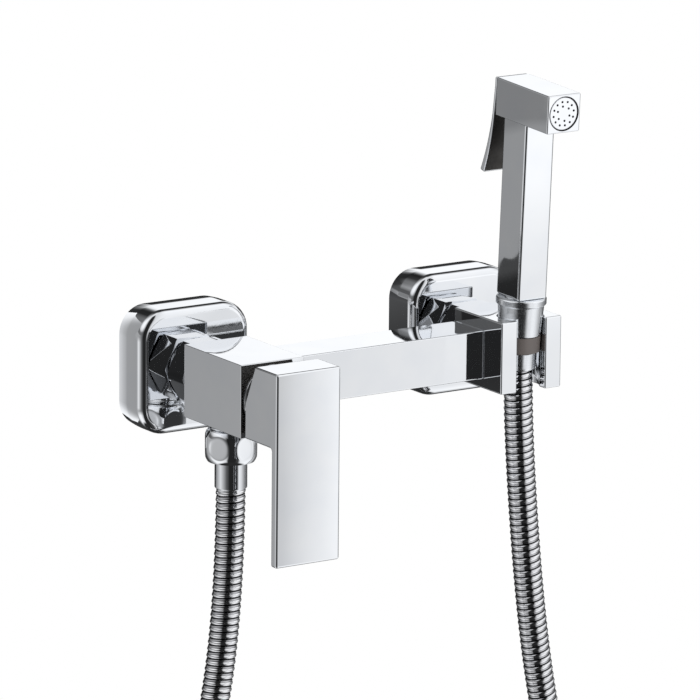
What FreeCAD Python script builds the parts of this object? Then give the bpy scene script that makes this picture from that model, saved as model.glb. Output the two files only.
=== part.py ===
import FreeCAD, Part
import math
import os

# Wall mixer for a bidet spray: a valve block and a holder block joined by a bar, a hand spray and its hose.
# Frame: X runs right along the bar, the wall is the plane y = 0, the front faces -Y, Z is up.
# The origin lies on the wall, midway between the two water inlets. All sizes are in millimetres.

Vec = FreeCAD.Vector
RIGHT, BACK, UP = Vec(1, 0, 0), Vec(0, 1, 0), Vec(0, 0, 1)
FRONT, DOWN = -BACK, -UP

# Clearances
running = 0.05            # a shaft in its own bore, on the radius
slip = 0.1                # a part that is pushed in by hand
assembly = 0.2            # a part that swings or is dropped in
loose = 0.3               # parts that pass each other
seat_gap = 0.25           # cone of the spray in its holder

# Blocks and bar
inlet_spacing = 150.0
block_width = 34.0
block_height = 34.5
valve_depth = 49.5
holder_depth = 40.0
bar_depth = 25.0
bar_height = 23.3
bar_drop = 0.9            # bar centre below the block centres
block_edge = 0.7
bar_bore = 3.5            # radius of the water way in the bar
bar_bore_back = 12.5      # bore axis in front of the bar's back

# Wall connection
thread_half = 10.48       # radius of a half-inch pipe thread
thread_three_quarter = 13.22
wall_thread_length = 15.0
connector_length = 30.0   # wall to the sealing face
connector_bore = 6.5
connector_body = 12.0
thread_start = 6.0        # wall to the start of the large thread
rosette_size = 59.4       # square
rosette_depth = 20.8
rosette_corner = 14.0
rosette_wall = 1.5
rosette_round = 4.0
union_flats = 30.0
union_lip = 2.0
nut_to_rosette = 1.2
nut_to_block = 1.1
filter_thickness = 2.0
nipple_flange = 2.6
nipple_flange_radius = 12.3
nipple_neck = 9.5
nipple_thread = 8.1
nipple_screwed = 7.5
nipple_bore = 4.5

# Cartridge, counted from the floor of its chamber towards the front
chamber_depth = 28.0
chamber_radius = 12.8
chamber_mouth = 13.6
mouth_depth = 4.0
cartridge_radius = 12.5
cartridge_inside = 10.6
seal_thickness = 1.8
base_thickness = 2.7
housing_length = 20.0
housing_lid = 2.6
lid_opening = 8.6
port_circle = 6.5
port_radius = 2.6
fixed_disc_thickness = 3.0
moving_disc_radius = 7.0
moving_disc_thickness = 4.2
moving_disc_lift = 1.6    # rest place above the cartridge axis
mixing_pocket = 0.8       # depth of the pocket in the moving disc's back
carrier_gap = 0.25        # moving disc to the carrier
carrier_slot = 6.3
pivot_in_block = 9.5      # lever pivot behind the front of the block
pivot_pin_radius = 1.5
stem_square = 6.0
stem_reach = 28.0         # pivot to the end inside the lever
ball_sunk = 0.9           # centre of the ball behind the moving disc's front
ball_radius = 1.7
retainer_length = 2.9
retainer_inside = 9.2
cover_radius = 15.5
cover_inside = 10.0
cover_thickness = 1.4
cover_spigot = 0.6

# Lever
lever_width = 34.3
lever_top = 19.0
lever_bottom = 71.5
plate_thickness = 4.8
hub_gap = 3.5             # front of the block to the back of the hub
hub_length = 22.6         # back of the hub to the back of the plate
hub_bottom = 16.3
hub_slope = 24.0          # angle of the cut on the hub's back, clears the block when lifted
hub_recess_radius = 10.5
hub_recess_depth = 3.0
hub_fillet = 1.3
lever_edge = 0.8
grub_radius = 2.5
grub_length = 9.0
grub_from_back = 10.0
grub_key = 2.5            # across flats of its hexagon socket

# Outlet and hose fittings under the valve block
outlet_from_back = 14.0
outlet_thread_top = 6.8
outlet_screwed = 7.7
outlet_flange = 11.0
outlet_flange_length = 1.8
outlet_thread_length = 10.5
outlet_bore = 4.0
nut_below_block = 4.7
hose_nut_length = 15.0
hose_nut_flats = 24.0
hose_nut_barrel = 12.9
hose_nut_round = 3.4
nut_shoulder = 2.7
hose_washer_thickness = 2.0
ferrule_flange_radius = 9.6
ferrule_flange = 2.5
ferrule_radius = 7.6
ferrule_below_nut = 14.3
ferrule_bore = 3.6
ferrule_grip = 8.0        # depth of the hose end in a ferrule
ferrule_step = 0.9

# Hand spray: heights run up its own axis from the level of the block centres
holder_axis = 67.5        # wall to the spray's axis at that level
spray_lean = 3.0          # degrees towards the front
slot_width = 16.0
tube_width = 16.3
tube_depth = 18.8
tube_base = 27.0
head_base = 112.0
head_height = 18.2
head_width = 18.2
head_front = 27.6
head_back = 15.0
spray_edge = 0.6
tube_edge = 1.2
cone_flange_radius = 12.0
cone_flange = 3.7
cone_top = 11.0
cone_bottom = 10.1
cone_base = 8.7
cone_floor = 2.5
neck_radius = 6.7
neck_flange_radius = 7.9
neck_flange = 2.2
spigot_radius = 8.2
spray_washer = 1.9
band_radius = 10.0
band_height = 7.8
band_base = 0.7
lower_ferrule_radius = 8.4
lower_ferrule_end = 8.0   # below the level of the block centres
tube_bore = 3.0
tube_bore_forward = 4.2
spigot_bore = 4.5
face_radius = 8.3
face_thickness = 2.6
face_recess = 0.3
outer_ring_holes = 12
outer_ring = 5.7
outer_ring_start = 10.0   # first jet, in degrees from the right-hand side
inner_ring_holes = 6
inner_ring = 3.5
inner_ring_start = 40.0
jet_radius = 0.5
face_seal = 1.2

# Stop valve and trigger in the head, counted from the spray's axis
valve_above_base = 6.5    # valve axis above the head's underside
seat_front = 1.0          # sealing face in front of the axis
seat_wall = 3.0
seat_port = 2.9
rear_chamber = 4.2
rear_chamber_length = 3.0
front_chamber = 5.4
front_chamber_end = 16.0
plug_thickness = 3.0
plug_radius = 6.0
plenum_radius = 7.0
gallery_below_top = 3.6
gallery_radius = 1.7
rod_radius = 1.8
disc_radius = 3.8
disc_thickness = 2.0
disc_backing = 0.8
spring_radius = 3.0
spring_wire = 0.7
spring_turns = 6
spring_end_gap = 0.1
cavity_width = 13.0
cavity_depth = 7.0
cavity_floor_wall = 2.2   # wall under the cavity
pin_below_top = 4.2
pin_inset = 3.0           # trigger pin in front of the head's back
pin_radius = 1.25
pin_length = 15.4
knuckle_width = 6.0
knuckle_radius = 2.4
trigger_width = 17.6
trigger_thickness = 1.8
trigger_tip_thickness = 3.4
trigger_below_top = 0.2
trigger_drop = 29.6       # height of the flare, from the head's underside to the tip
trigger_gap = 0.3
trigger_wedge = 1.2       # extra gap at the bend, taken up when pressed
trigger_flare = 6.4       # from the bend to the tip
trigger_bow = 1.0         # hollow of the flare
rod_play = 0.25           # end of the valve rod to the trigger

# Hose
hose_radius = 7.0
hose_root = 6.2
hose_bore = 4.5
hose_ribs = 48
rib_crest = 0.5           # share of the pitch
rib_flank = 0.12
hose_neck = 9.0           # plain end inside a ferrule
bore_sections = 48

# Chosen points of the hanging hose between its two fittings
hose_route = [
    (-75.2, -52.0, -93.0), (-84.0, -52.8, -160.0), (-108.0, -54.0, -240.0), (-133.0, -56.0, -325.0),
    (-133.0, -58.0, -415.0), (-84.0, -59.5, -485.0), (0.0, -60.5, -509.0), (84.0, -61.5, -485.0),
    (133.0, -62.5, -415.0), (134.0, -63.5, -325.0), (112.0, -64.5, -235.0), (86.5, -64.8, -140.0),
]
hose_lead = 42.0          # straight length below the spray's ferrule

# Places worked out from the sizes above
union_front = connector_length + filter_thickness + nipple_flange + loose + union_lip
union_length = union_front - rosette_depth - nut_to_rosette
block_back = union_front + nut_to_block
left_x, right_x = -inlet_spacing / 2, inlet_spacing / 2
valve_front = -(block_back + valve_depth)
chamber_floor = valve_front + chamber_depth
base_back = chamber_floor - seal_thickness
housing_back = base_back - base_thickness
housing_front = housing_back - housing_length
fixed_front = housing_back - fixed_disc_thickness
moving_back = fixed_front - running
moving_front = moving_back - moving_disc_thickness
pivot_y = valve_front + pivot_in_block
stem_tail = moving_front + ball_sunk - pivot_y
carrier_front = housing_front + housing_lid + loose
carrier_back = moving_front - carrier_gap
carrier_length = carrier_back - carrier_front
hub_back = valve_front - hub_gap
plate_back = hub_back - hub_length
lever_front = plate_back - plate_thickness
outlet_y = -(block_back + outlet_from_back)
hose_nut_top = -block_height / 2 - nut_below_block
hose_nut_bottom = hose_nut_top - hose_nut_length
ferrule_end = hose_nut_bottom - ferrule_below_nut
sealing_y = -connector_length
port_places = [(port_circle * math.cos(math.radians(a)), port_circle * math.sin(math.radians(a)))
               for a in (150, 30, 270)]
spray_place = FreeCAD.Placement(Vec(right_x, -holder_axis, 0), FreeCAD.Rotation(RIGHT, spray_lean))
face_centre = head_base + head_height / 2
cavity_floor = head_back - cavity_depth
head_top = head_base + head_height
valve_level = head_base + valve_above_base
gallery_level = head_top - gallery_below_top
pin_level = head_top - pin_below_top
cavity_base = head_base + cavity_floor_wall
cavity_top = pin_level + knuckle_radius + assembly
trigger_top = head_top - trigger_below_top
trigger_bend = head_base
trigger_tip = trigger_bend - trigger_drop


# Building blocks
def box(x0, x1, y0, y1, z0, z1):
    """Block between the given limits, in any order."""
    low = Vec(min(x0, x1), min(y0, y1), min(z0, z1))
    return Part.makeBox(abs(x1 - x0), abs(y1 - y0), abs(z1 - z0), low)


def rod(radius, start, direction, length):
    return Part.makeCylinder(radius, length, start, direction)


def ring(outer, inner, start, direction, length):
    return rod(outer, start, direction, length).cut(rod(inner, start, direction, length))


def rounded(shape, radius, wanted):
    """Fillet the edges for which wanted(edge) holds."""
    return shape.makeFillet(radius, [edge for edge in shape.Edges if wanted(edge)])


def along(edge, direction):
    first, last = edge.Vertexes[0].Point, edge.Vertexes[-1].Point
    return (last - first).cross(direction).Length < 1e-6 and len(edge.Vertexes) == 2


def rounded_square(size, corner, y):
    """Closed outline of a square with round corners, in a plane of constant y."""
    half, flat = size / 2, size / 2 - corner
    diagonal = flat + corner * math.sqrt(0.5)
    edges = []
    for turn in range(4):
        quarter = FreeCAD.Rotation(BACK, 90 * turn)
        spots = [(-flat, half), (flat, half), (diagonal, diagonal), (half, flat)]
        a, b, middle, c = [quarter.multVec(Vec(x, 0, z)) + Vec(0, y, 0) for x, z in spots]
        edges += [Part.makeLine(a, b), Part.Arc(b, middle, c).toShape()]
    return Part.Wire(Part.__sortEdges__(edges))


def hexagon(flats, start, direction, length):
    """Hexagonal bar; one corner lies in the plane of X and the direction."""
    radius = flats / math.sqrt(3)
    first = FreeCAD.Rotation(direction, 0).multVec(RIGHT)
    corners = []
    for corner in range(7):
        spin = FreeCAD.Rotation(direction, 60 * corner)
        corners.append(start + spin.multVec(first) * radius)
    return Part.Face(Part.makePolygon(corners)).extrude(direction * length)


def revolved(profile, start, direction):
    """Solid of revolution; the profile lists (radius, height) corners along the direction."""
    points = [Vec(r, 0, h) for r, h in profile]
    solid = Part.Face(Part.makePolygon(points + points[:1])).revolve(Vec(), UP, 360)
    solid.Placement = FreeCAD.Placement(start, FreeCAD.Rotation(UP, direction))
    return solid


def extruded_side(points, x_middle, width):
    """Prism across X from a side outline of (y, z) corners."""
    corners = [Vec(x_middle - width / 2, y, z) for y, z in points]
    return Part.Face(Part.makePolygon(corners + corners[:1])).extrude(RIGHT * width)


# Blocks, bar and their water ways
def plain_block(x_middle, depth):
    half = block_width / 2
    block = box(x_middle - half, x_middle + half, -block_back, -block_back - depth,
                -block_height / 2, block_height / 2)
    return block.makeFillet(block_edge, block.Edges)


def bar_water_way(x_start, x_end):
    start = Vec(x_start, -block_back - bar_bore_back, -bar_drop)
    return rod(bar_bore, start, RIGHT, x_end - x_start)


def inlet_bore(x_middle):
    return rod(nipple_thread + slip, Vec(x_middle, -block_back, 0), FRONT, nipple_screwed + slip)


def make_mixer_body():
    """Valve block and bar in one casting."""
    valve_block = plain_block(left_x, valve_depth)
    x_bar, x_end = left_x + block_width / 2, right_x - block_width / 2
    z_bar = -bar_drop
    bar = box(x_bar - 2, x_end, -block_back - 0.4, -block_back - bar_depth,
              z_bar - bar_height / 2, z_bar + bar_height / 2)
    bar = rounded(bar, block_edge, lambda edge: along(edge, RIGHT))
    chamber = rod(chamber_radius, Vec(left_x, valve_front, 0), BACK, chamber_depth)
    mouth = rod(chamber_mouth, Vec(left_x, valve_front, 0), BACK, mouth_depth)
    hot, cold, mixed = [(left_x + x, z) for x, z in port_places]
    hot_way = rod(port_radius, Vec(hot[0], chamber_floor, hot[1]), BACK, -block_back - chamber_floor)
    cold_way = rod(port_radius, Vec(cold[0], chamber_floor, cold[1]), BACK, bar_bore * 2)
    mixed_way = rod(port_radius, Vec(mixed[0], chamber_floor, mixed[1]), BACK, outlet_thread_top + 2)
    outlet = rod(outlet_thread_top + slip, Vec(left_x, outlet_y, -block_height / 2), UP, outlet_screwed + slip)
    riser = rod(bar_bore, Vec(left_x, outlet_y, -block_height / 2), UP, block_height / 2 + mixed[1])
    cuts = [chamber, mouth, hot_way, cold_way, mixed_way, outlet, riser, inlet_bore(left_x),
            bar_water_way(cold[0], x_end + 1)]
    return valve_block.fuse(bar).cut(Part.makeCompound(cuts)).removeSplitter()


def holder_bore():
    """Tapered seat for the cone of the spray, on the leaning axis, open below."""
    top = block_height
    cone_rise = (cone_top - cone_bottom) / (tube_base - cone_flange - cone_base)
    low = cone_bottom + seat_gap
    seat = revolved([(0, cone_base), (low, cone_base), (low + cone_rise * top, cone_base + top),
                     (0, cone_base + top)], Vec(), UP)
    shaft = rod(low, Vec(0, 0, -block_height), UP, block_height + cone_base + 0.01)
    bore = seat.fuse(shaft)
    bore.Placement = spray_place
    return bore


def make_holder_block():
    block = plain_block(right_x, holder_depth)
    slot = box(right_x - slot_width / 2, right_x + slot_width / 2, -holder_axis,
               -block_back - holder_depth - 1, -block_height, block_height)
    water_way = bar_water_way(right_x - block_width / 2 - 1, right_x)
    block = block.cut(Part.makeCompound([slot, inlet_bore(right_x)])).cut(holder_bore())
    return block.cut(water_way).removeSplitter()


# Wall side
def make_wall_connector(x_middle):
    """Straight connector: small thread into the wall, large thread for the union nut."""
    thread = rod(thread_half, Vec(x_middle, wall_thread_length, 0), FRONT, wall_thread_length + 1)
    body = rod(connector_body, Vec(x_middle, 0, 0), FRONT, connector_length - 1)
    large = rod(thread_three_quarter, Vec(x_middle, -thread_start, 0), FRONT, connector_length - thread_start)
    bore = rod(connector_bore, Vec(x_middle, wall_thread_length + 1, 0), FRONT,
               wall_thread_length + connector_length + 2)
    return thread.fuse([body, large]).cut(bore).removeSplitter()


def rosette_solid(inset, front_round):
    outline = rounded_square(rosette_size - 2 * inset, rosette_corner - inset, 0)
    front_y = -(rosette_depth - inset)
    solid = Part.Face(outline).extrude(Vec(0, front_y, 0))
    return rounded(solid, front_round, lambda e: all(abs(v.Point.y - front_y) < 1e-6 for v in e.Vertexes))


def make_rosette(x_middle):
    """Square cover shell with round corners, open towards the wall."""
    shell = rosette_solid(0, rosette_round).cut(rosette_solid(rosette_wall, rosette_round - rosette_wall))
    hole = rod(thread_three_quarter + loose, Vec(), FRONT, rosette_depth + 1)
    shell = shell.cut(hole)
    shell.translate(Vec(x_middle, 0, 0))
    return shell


def make_union_nut(x_middle):
    """Hexagon nut with chamfered corners; its inner lip holds the nipple's flange."""
    front = -union_front
    lip_back = front + union_lip
    start = Vec(x_middle, front, 0)
    corner, flat = union_flats / math.sqrt(3), union_flats / 2
    rise = (corner - flat + 0.3) * math.tan(math.radians(30))
    turned = revolved([(0, 0), (flat - 0.3, 0), (corner, rise), (corner, union_length - rise),
                       (flat - 0.3, union_length), (0, union_length)], start, BACK)
    nut = hexagon(union_flats, start, BACK, union_length).common(turned)
    thread = rod(thread_three_quarter + slip, Vec(x_middle, lip_back, 0), BACK, union_length)
    return nut.cut(thread).cut(rod(nipple_neck + loose, start, BACK, union_length))


def make_inlet_nipple(x_middle):
    start = Vec(x_middle, sealing_y - filter_thickness, 0)
    flange = rod(nipple_flange_radius, start, FRONT, nipple_flange)
    neck_length = block_back - connector_length - filter_thickness
    neck = rod(nipple_neck, start, FRONT, neck_length)
    thread = rod(nipple_thread, start, FRONT, neck_length + nipple_screwed)
    bore = rod(nipple_bore, start, FRONT, neck_length + nipple_screwed)
    return flange.fuse([neck, thread]).cut(bore).removeSplitter()


def make_inlet_filter(x_middle):
    """Rubber washer with a strainer across its bore."""
    start = Vec(x_middle, sealing_y, 0)
    washer = ring(nipple_flange_radius, connector_bore, start, FRONT, filter_thickness)
    bars = []
    for offset in (-3.2, 0.0, 3.2):
        reach = math.sqrt(connector_bore ** 2 - offset ** 2) + 0.4
        y0 = sealing_y - filter_thickness * 0.35
        y1 = sealing_y - filter_thickness * 0.65
        bars.append(box(x_middle - reach, x_middle + reach, y0, y1, offset - 0.4, offset + 0.4))
        bars.append(box(x_middle + offset - 0.4, x_middle + offset + 0.4, y0, y1, -reach, reach))
    return washer.fuse(bars).removeSplitter()


# Cartridge
def with_ports(shape):
    holes = [rod(port_radius, Vec(left_x + x, chamber_floor + 1, z), FRONT, chamber_depth)
             for x, z in port_places]
    return shape.cut(Part.makeCompound(holes))


def make_cartridge_seal():
    return with_ports(rod(cartridge_radius, Vec(left_x, chamber_floor, 0), FRONT, seal_thickness))


def make_cartridge_base():
    return with_ports(rod(cartridge_radius, Vec(left_x, base_back, 0), FRONT, base_thickness))


def make_cartridge_housing():
    start = Vec(left_x, housing_back, 0)
    shell = rod(cartridge_radius, start, FRONT, housing_length)
    room = rod(cartridge_inside, start, FRONT, housing_length - housing_lid)
    return shell.cut(room).cut(rod(lid_opening, start, FRONT, housing_length))


def make_fixed_disc():
    return with_ports(rod(cartridge_inside - loose, Vec(left_x, housing_back, 0), FRONT, fixed_disc_thickness))


def make_moving_disc():
    """Ceramic slide with a mixing pocket behind and a square pocket for the ball in front."""
    centre = Vec(left_x, moving_back, moving_disc_lift)
    disc = rod(moving_disc_radius, centre, FRONT, moving_disc_thickness)
    pocket = rod(moving_disc_radius - 1.8, centre, FRONT, mixing_pocket)
    half = ball_radius + assembly
    ball_room = box(left_x - half, left_x + half, moving_front, moving_front + ball_sunk + half,
                    -half - assembly, half + assembly)
    return disc.cut(pocket).cut(ball_room)


def make_disc_carrier():
    """Turning carrier that holds the lever's pivot pin."""
    start = Vec(left_x, carrier_back, 0)
    body = rod(cartridge_inside - running * 2, start, FRONT, carrier_length)
    slot = box(left_x - carrier_slot / 2, left_x + carrier_slot / 2, carrier_back + 1, carrier_front - 1,
               -cartridge_inside * 0.66, cartridge_inside * 0.66)
    pin_hole = rod(pivot_pin_radius, Vec(left_x - cartridge_inside, pivot_y, 0), RIGHT, cartridge_inside * 2)
    return body.cut(slot).cut(pin_hole)


def make_pivot_pin():
    half = cartridge_inside - 1.2
    return rod(pivot_pin_radius, Vec(left_x - half, pivot_y, 0), RIGHT, half * 2)


def make_cartridge_stem():
    """Square stem with an eye on the pivot pin and a ball on its tail."""
    half = stem_square / 2
    shaft = box(left_x - half, left_x + half, pivot_y, pivot_y - stem_reach, -half, half)
    eye = rod(half + 0.4, Vec(left_x - half, pivot_y, 0), RIGHT, stem_square)
    tail = rod(ball_radius - 0.6, Vec(left_x, pivot_y, 0), BACK, stem_tail)
    ball = Part.makeSphere(ball_radius, Vec(left_x, pivot_y + stem_tail, 0))
    hole = rod(pivot_pin_radius + running, Vec(left_x - half - 1, pivot_y, 0), RIGHT, stem_square + 2)
    return shaft.fuse([eye, tail, ball]).cut(hole).removeSplitter()


def make_retaining_nut():
    """Slotted ring nut in the chamber mouth."""
    nut = ring(chamber_mouth - slip, retainer_inside, Vec(left_x, housing_front, 0), FRONT, retainer_length)
    front = housing_front - retainer_length
    slots = [box(left_x - 1.5, left_x + 1.5, front, front + 1.2, side * (retainer_inside - 1),
                 side * (chamber_mouth + 1)) for side in (-1, 1)]
    return nut.cut(Part.makeCompound(slots))


def make_cover_ring():
    flange = ring(cover_radius, cover_inside, Vec(left_x, valve_front, 0), FRONT, cover_thickness)
    rim = [edge for edge in flange.Edges if edge.BoundBox.YMax < valve_front - cover_thickness / 2
           and edge.BoundBox.XLength > 2 * cover_inside + 1]
    flange = flange.makeChamfer(cover_thickness * 0.5, rim)
    spigot = ring(chamber_mouth - slip * 2, cover_inside, Vec(left_x, valve_front, 0), BACK, cover_spigot)
    return flange.fuse(spigot).removeSplitter()


# Lever
def hub_cut_rise():
    return (lever_top - 0.4) * math.tan(math.radians(hub_slope))


def make_lever_handle():
    """Hub and hanging plate in one casting, with a square socket for the stem."""
    side = [(hub_back, -hub_bottom), (hub_back, 0.4), (hub_back - hub_cut_rise(), lever_top),
            (lever_front, lever_top), (lever_front, -lever_bottom), (plate_back, -lever_bottom),
            (plate_back, -hub_bottom)]
    lever = extruded_side(side, left_x, lever_width)
    inner = (plate_back, -hub_bottom)
    lever = rounded(lever, hub_fillet, lambda e: along(e, RIGHT)
                    and math.hypot(e.BoundBox.YMin - inner[0], e.BoundBox.ZMin - inner[1]) < 1e-3)
    outside = [e for e in lever.Edges if along(e, RIGHT) and e.BoundBox.YMin < plate_back - 1]
    outside += [e for e in lever.Edges if along(e, UP) and e.BoundBox.YMax < plate_back - 1]
    outside += [e for e in lever.Edges if along(e, BACK) and e.BoundBox.ZMin > lever_top - 0.1]
    lever = lever.makeFillet(lever_edge, outside)
    recess = rod(hub_recess_radius, Vec(left_x, hub_back + 1, 0), FRONT, hub_recess_depth + 1)
    half = stem_square / 2 + slip
    stem_end = pivot_y - stem_reach
    socket = box(left_x - half, left_x + half, hub_back, stem_end - slip, -half, half)
    grub_y = hub_back - grub_from_back
    screw_hole = rod(grub_radius, Vec(left_x, grub_y, -hub_bottom - 1), UP, hub_bottom - stem_square / 2 + 1)
    return lever.cut(Part.makeCompound([recess, socket, screw_hole])).removeSplitter()


def make_grub_screw():
    top = -stem_square / 2
    start = Vec(left_x, hub_back - grub_from_back, top - grub_length)
    screw = revolved([(0, 0), (grub_radius - 0.4, 0), (grub_radius, 0.4), (grub_radius, grub_length - 1.2),
                      (grub_radius - 1.2, grub_length), (0, grub_length)], start, UP)
    return screw.cut(hexagon(grub_key, start, UP, 3.0))


# Outlet and upper end of the hose
def make_outlet_nipple():
    top = Vec(left_x, outlet_y, -block_height / 2)
    screwed = rod(outlet_thread_top, top, UP, outlet_screwed)
    flange = rod(outlet_flange, top, DOWN, outlet_flange_length)
    thread = rod(thread_half, top, DOWN, outlet_flange_length + outlet_thread_length)
    bore = rod(outlet_bore, top + UP * outlet_screwed, DOWN,
               outlet_screwed + outlet_flange_length + outlet_thread_length)
    return screwed.fuse([flange, thread]).cut(bore).removeSplitter()


def washer_top():
    return -block_height / 2 - outlet_flange_length - outlet_thread_length


def make_hose_washer():
    return ring(thread_half - slip, outlet_bore, Vec(left_x, outlet_y, washer_top()), DOWN, hose_washer_thickness)


def make_hose_nut():
    """Barrel with six flats that meet its round corners in oval faces."""
    start = Vec(left_x, outlet_y, hose_nut_bottom)
    end, length = hose_nut_barrel - hose_nut_round * 0.7, hose_nut_length
    barrel = revolved([(0, 0), (end, 0), (hose_nut_barrel - 0.6, hose_nut_round * 0.55),
                       (hose_nut_barrel, hose_nut_round), (hose_nut_barrel, length - hose_nut_round),
                       (hose_nut_barrel - 0.6, length - hose_nut_round * 0.55), (end, length), (0, length)],
                      start, UP)
    nut = barrel.common(hexagon(hose_nut_flats, start, UP, length))
    thread = rod(thread_half + slip, start + UP * nut_shoulder, UP, length)
    return nut.cut(thread).cut(rod(ferrule_radius + loose, start, UP, length))


def make_mixer_ferrule():
    """Sleeve that grips the hose; its flange sits in the nut."""
    flange_top = washer_top() - hose_washer_thickness
    flange = rod(ferrule_flange_radius, Vec(left_x, outlet_y, flange_top), DOWN, ferrule_flange)
    length = flange_top - ferrule_end
    lip = 1.2
    sleeve = revolved([(0, 0), (ferrule_radius - ferrule_step, 0), (ferrule_radius - ferrule_step, lip),
                       (ferrule_radius, lip + 0.5), (ferrule_radius, length), (0, length)],
                      Vec(left_x, outlet_y, ferrule_end), UP)
    grip = rod(hose_root + loose, Vec(left_x, outlet_y, ferrule_end - 1), UP, ferrule_grip + 1 + loose)
    bore = rod(ferrule_bore, Vec(left_x, outlet_y, ferrule_end), UP, length)
    return flange.fuse(sleeve).cut(Part.makeCompound([grip, bore])).removeSplitter()


# Lower end of the hand spray, built upright on its own axis
def on_spray_axis(shape):
    shape.Placement = spray_place.multiply(shape.Placement)
    return shape


def neck_top():
    return cone_base + cone_floor + running + neck_flange


def make_spray_ferrule():
    length = neck_top() + lower_ferrule_end
    flange = rod(neck_flange_radius, Vec(0, 0, neck_top() - neck_flange), UP, neck_flange)
    neck = rod(neck_radius, Vec(0, 0, 0), UP, neck_top())
    shoulder = band_base - running
    sleeve = revolved([(0, -lower_ferrule_end), (lower_ferrule_radius - 0.6, -lower_ferrule_end),
                       (lower_ferrule_radius, -lower_ferrule_end + 1.2), (lower_ferrule_radius, shoulder - 0.6),
                       (lower_ferrule_radius - 0.6, shoulder), (0, shoulder)], Vec(), UP)
    grip = rod(hose_root + loose, Vec(0, 0, -lower_ferrule_end - 1), UP, ferrule_grip + 1 + loose)
    bore = rod(ferrule_bore, Vec(0, 0, -lower_ferrule_end), UP, length)
    return on_spray_axis(flange.fuse([neck, sleeve]).cut(Part.makeCompound([grip, bore])).removeSplitter())


def make_swivel_ring():
    band = ring(band_radius, neck_radius + running, Vec(0, 0, band_base), UP, band_height)
    return on_spray_axis(band)


def make_cone_nut():
    """Conical nut with its top flange; the spray's spigot screws into it."""
    top = tube_base
    under = top - cone_flange
    outside = revolved([(0, cone_base), (cone_bottom - 0.3, cone_base), (cone_bottom, cone_base + 0.3),
                        (cone_top, under), (cone_flange_radius - 0.6, under), (cone_flange_radius, under + 0.6),
                        (cone_flange_radius, top - 0.6), (cone_flange_radius - 0.6, top), (0, top)], Vec(), UP)
    thread = rod(spigot_radius + running, Vec(0, 0, cone_base + cone_floor), UP, top)
    neck_hole = rod(neck_radius + seat_gap, Vec(0, 0, 0), UP, top)
    return on_spray_axis(outside.cut(Part.makeCompound([thread, neck_hole])))


def make_spray_washer():
    low = neck_top() + running
    return on_spray_axis(ring(spigot_radius - slip, spigot_bore, Vec(0, 0, low), UP, spray_washer))


# Hand spray body: square tube, head and the chambers of its stop valve
def across(radius, y_from, y_to, level, x=0.0):
    """Rod along the head, from y_from to y_to."""
    return rod(radius, Vec(x, min(y_from, y_to), level), BACK, abs(y_to - y_from))


def spray_outside():
    half = tube_width / 2
    tube = box(-half, half, -tube_depth / 2, tube_depth / 2, tube_base, head_base + 1)
    tube = rounded(tube, tube_edge, lambda edge: along(edge, UP))
    wide = head_width / 2
    head = box(-wide, wide, -head_front, head_back, head_base, head_base + head_height)
    head = head.makeFillet(spray_edge, head.Edges)
    spigot_base = neck_top() + running + spray_washer
    spigot = rod(spigot_radius, Vec(0, 0, spigot_base), UP, tube_base - spigot_base + 1)
    return tube.fuse([head, spigot])


def valve_room():
    """Water way, chambers, seat port and gallery of the head, and the cavity behind the trigger."""
    seat_back = -seat_front + seat_wall
    rooms = [
        rod(spigot_bore, Vec(0, 0, 0), UP, tube_base + 5),
        rod(tube_bore, Vec(0, -tube_bore_forward, tube_base), UP, valve_level - tube_base),
        across(front_chamber, -seat_front, -front_chamber_end, valve_level),
        across(plug_radius, -front_chamber_end, -front_chamber_end - plug_thickness, valve_level),
        across(seat_port, -seat_front, seat_back, valve_level),
        across(rear_chamber, seat_back, seat_back + rear_chamber_length, valve_level),
        rod(gallery_radius, Vec(0, seat_back + rear_chamber_length / 2, valve_level), UP,
            gallery_level - valve_level + gallery_radius * 0.5),
        across(gallery_radius, seat_back + rear_chamber_length, -head_front + 4, gallery_level),
        across(plenum_radius, -front_chamber_end - plug_thickness, -head_front, face_centre),
        across(face_radius, -head_front + face_thickness + face_recess + face_seal, -head_front - 1, face_centre),
        across(rod_radius + running, 0, head_back, valve_level),
        box(-cavity_width / 2, cavity_width / 2, cavity_floor, head_back + 1, cavity_base, cavity_top),
        rod(pin_radius, Vec(-pin_length / 2 - slip, head_back - pin_inset, pin_level), RIGHT,
            pin_length + 2 * slip),
    ]
    return Part.makeCompound(rooms)


def make_spray_body():
    return on_spray_axis(spray_outside().cut(valve_room()).removeSplitter())


def make_spray_face():
    """Round face with two rings of jets."""
    front = -head_front + face_recess
    disc = across(face_radius - slip, front, front + face_thickness, face_centre)
    jets = []
    for count, radius, start in ((outer_ring_holes, outer_ring, outer_ring_start),
                                 (inner_ring_holes, inner_ring, inner_ring_start)):
        for index in range(count):
            angle = math.radians(start) + 2 * math.pi * index / count
            jets.append(across(jet_radius, front - 1, front + face_thickness + 1,
                               face_centre + radius * math.sin(angle), radius * math.cos(angle)))
    return on_spray_axis(disc.cut(Part.makeCompound(jets)))


def make_face_seal():
    back = -head_front + face_recess + face_thickness
    seal = ring(face_radius - slip, plenum_radius, Vec(0, back, face_centre), BACK, face_seal)
    return on_spray_axis(seal)


def make_valve_plug():
    start = Vec(0, -front_chamber_end, valve_level)
    plug = rod(plug_radius, start, FRONT, plug_thickness)
    driver = box(-3, 3, -front_chamber_end - plug_thickness, -front_chamber_end - plug_thickness + 1.2,
                 valve_level - 0.5, valve_level + 0.5)
    return on_spray_axis(plug.cut(driver))


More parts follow.
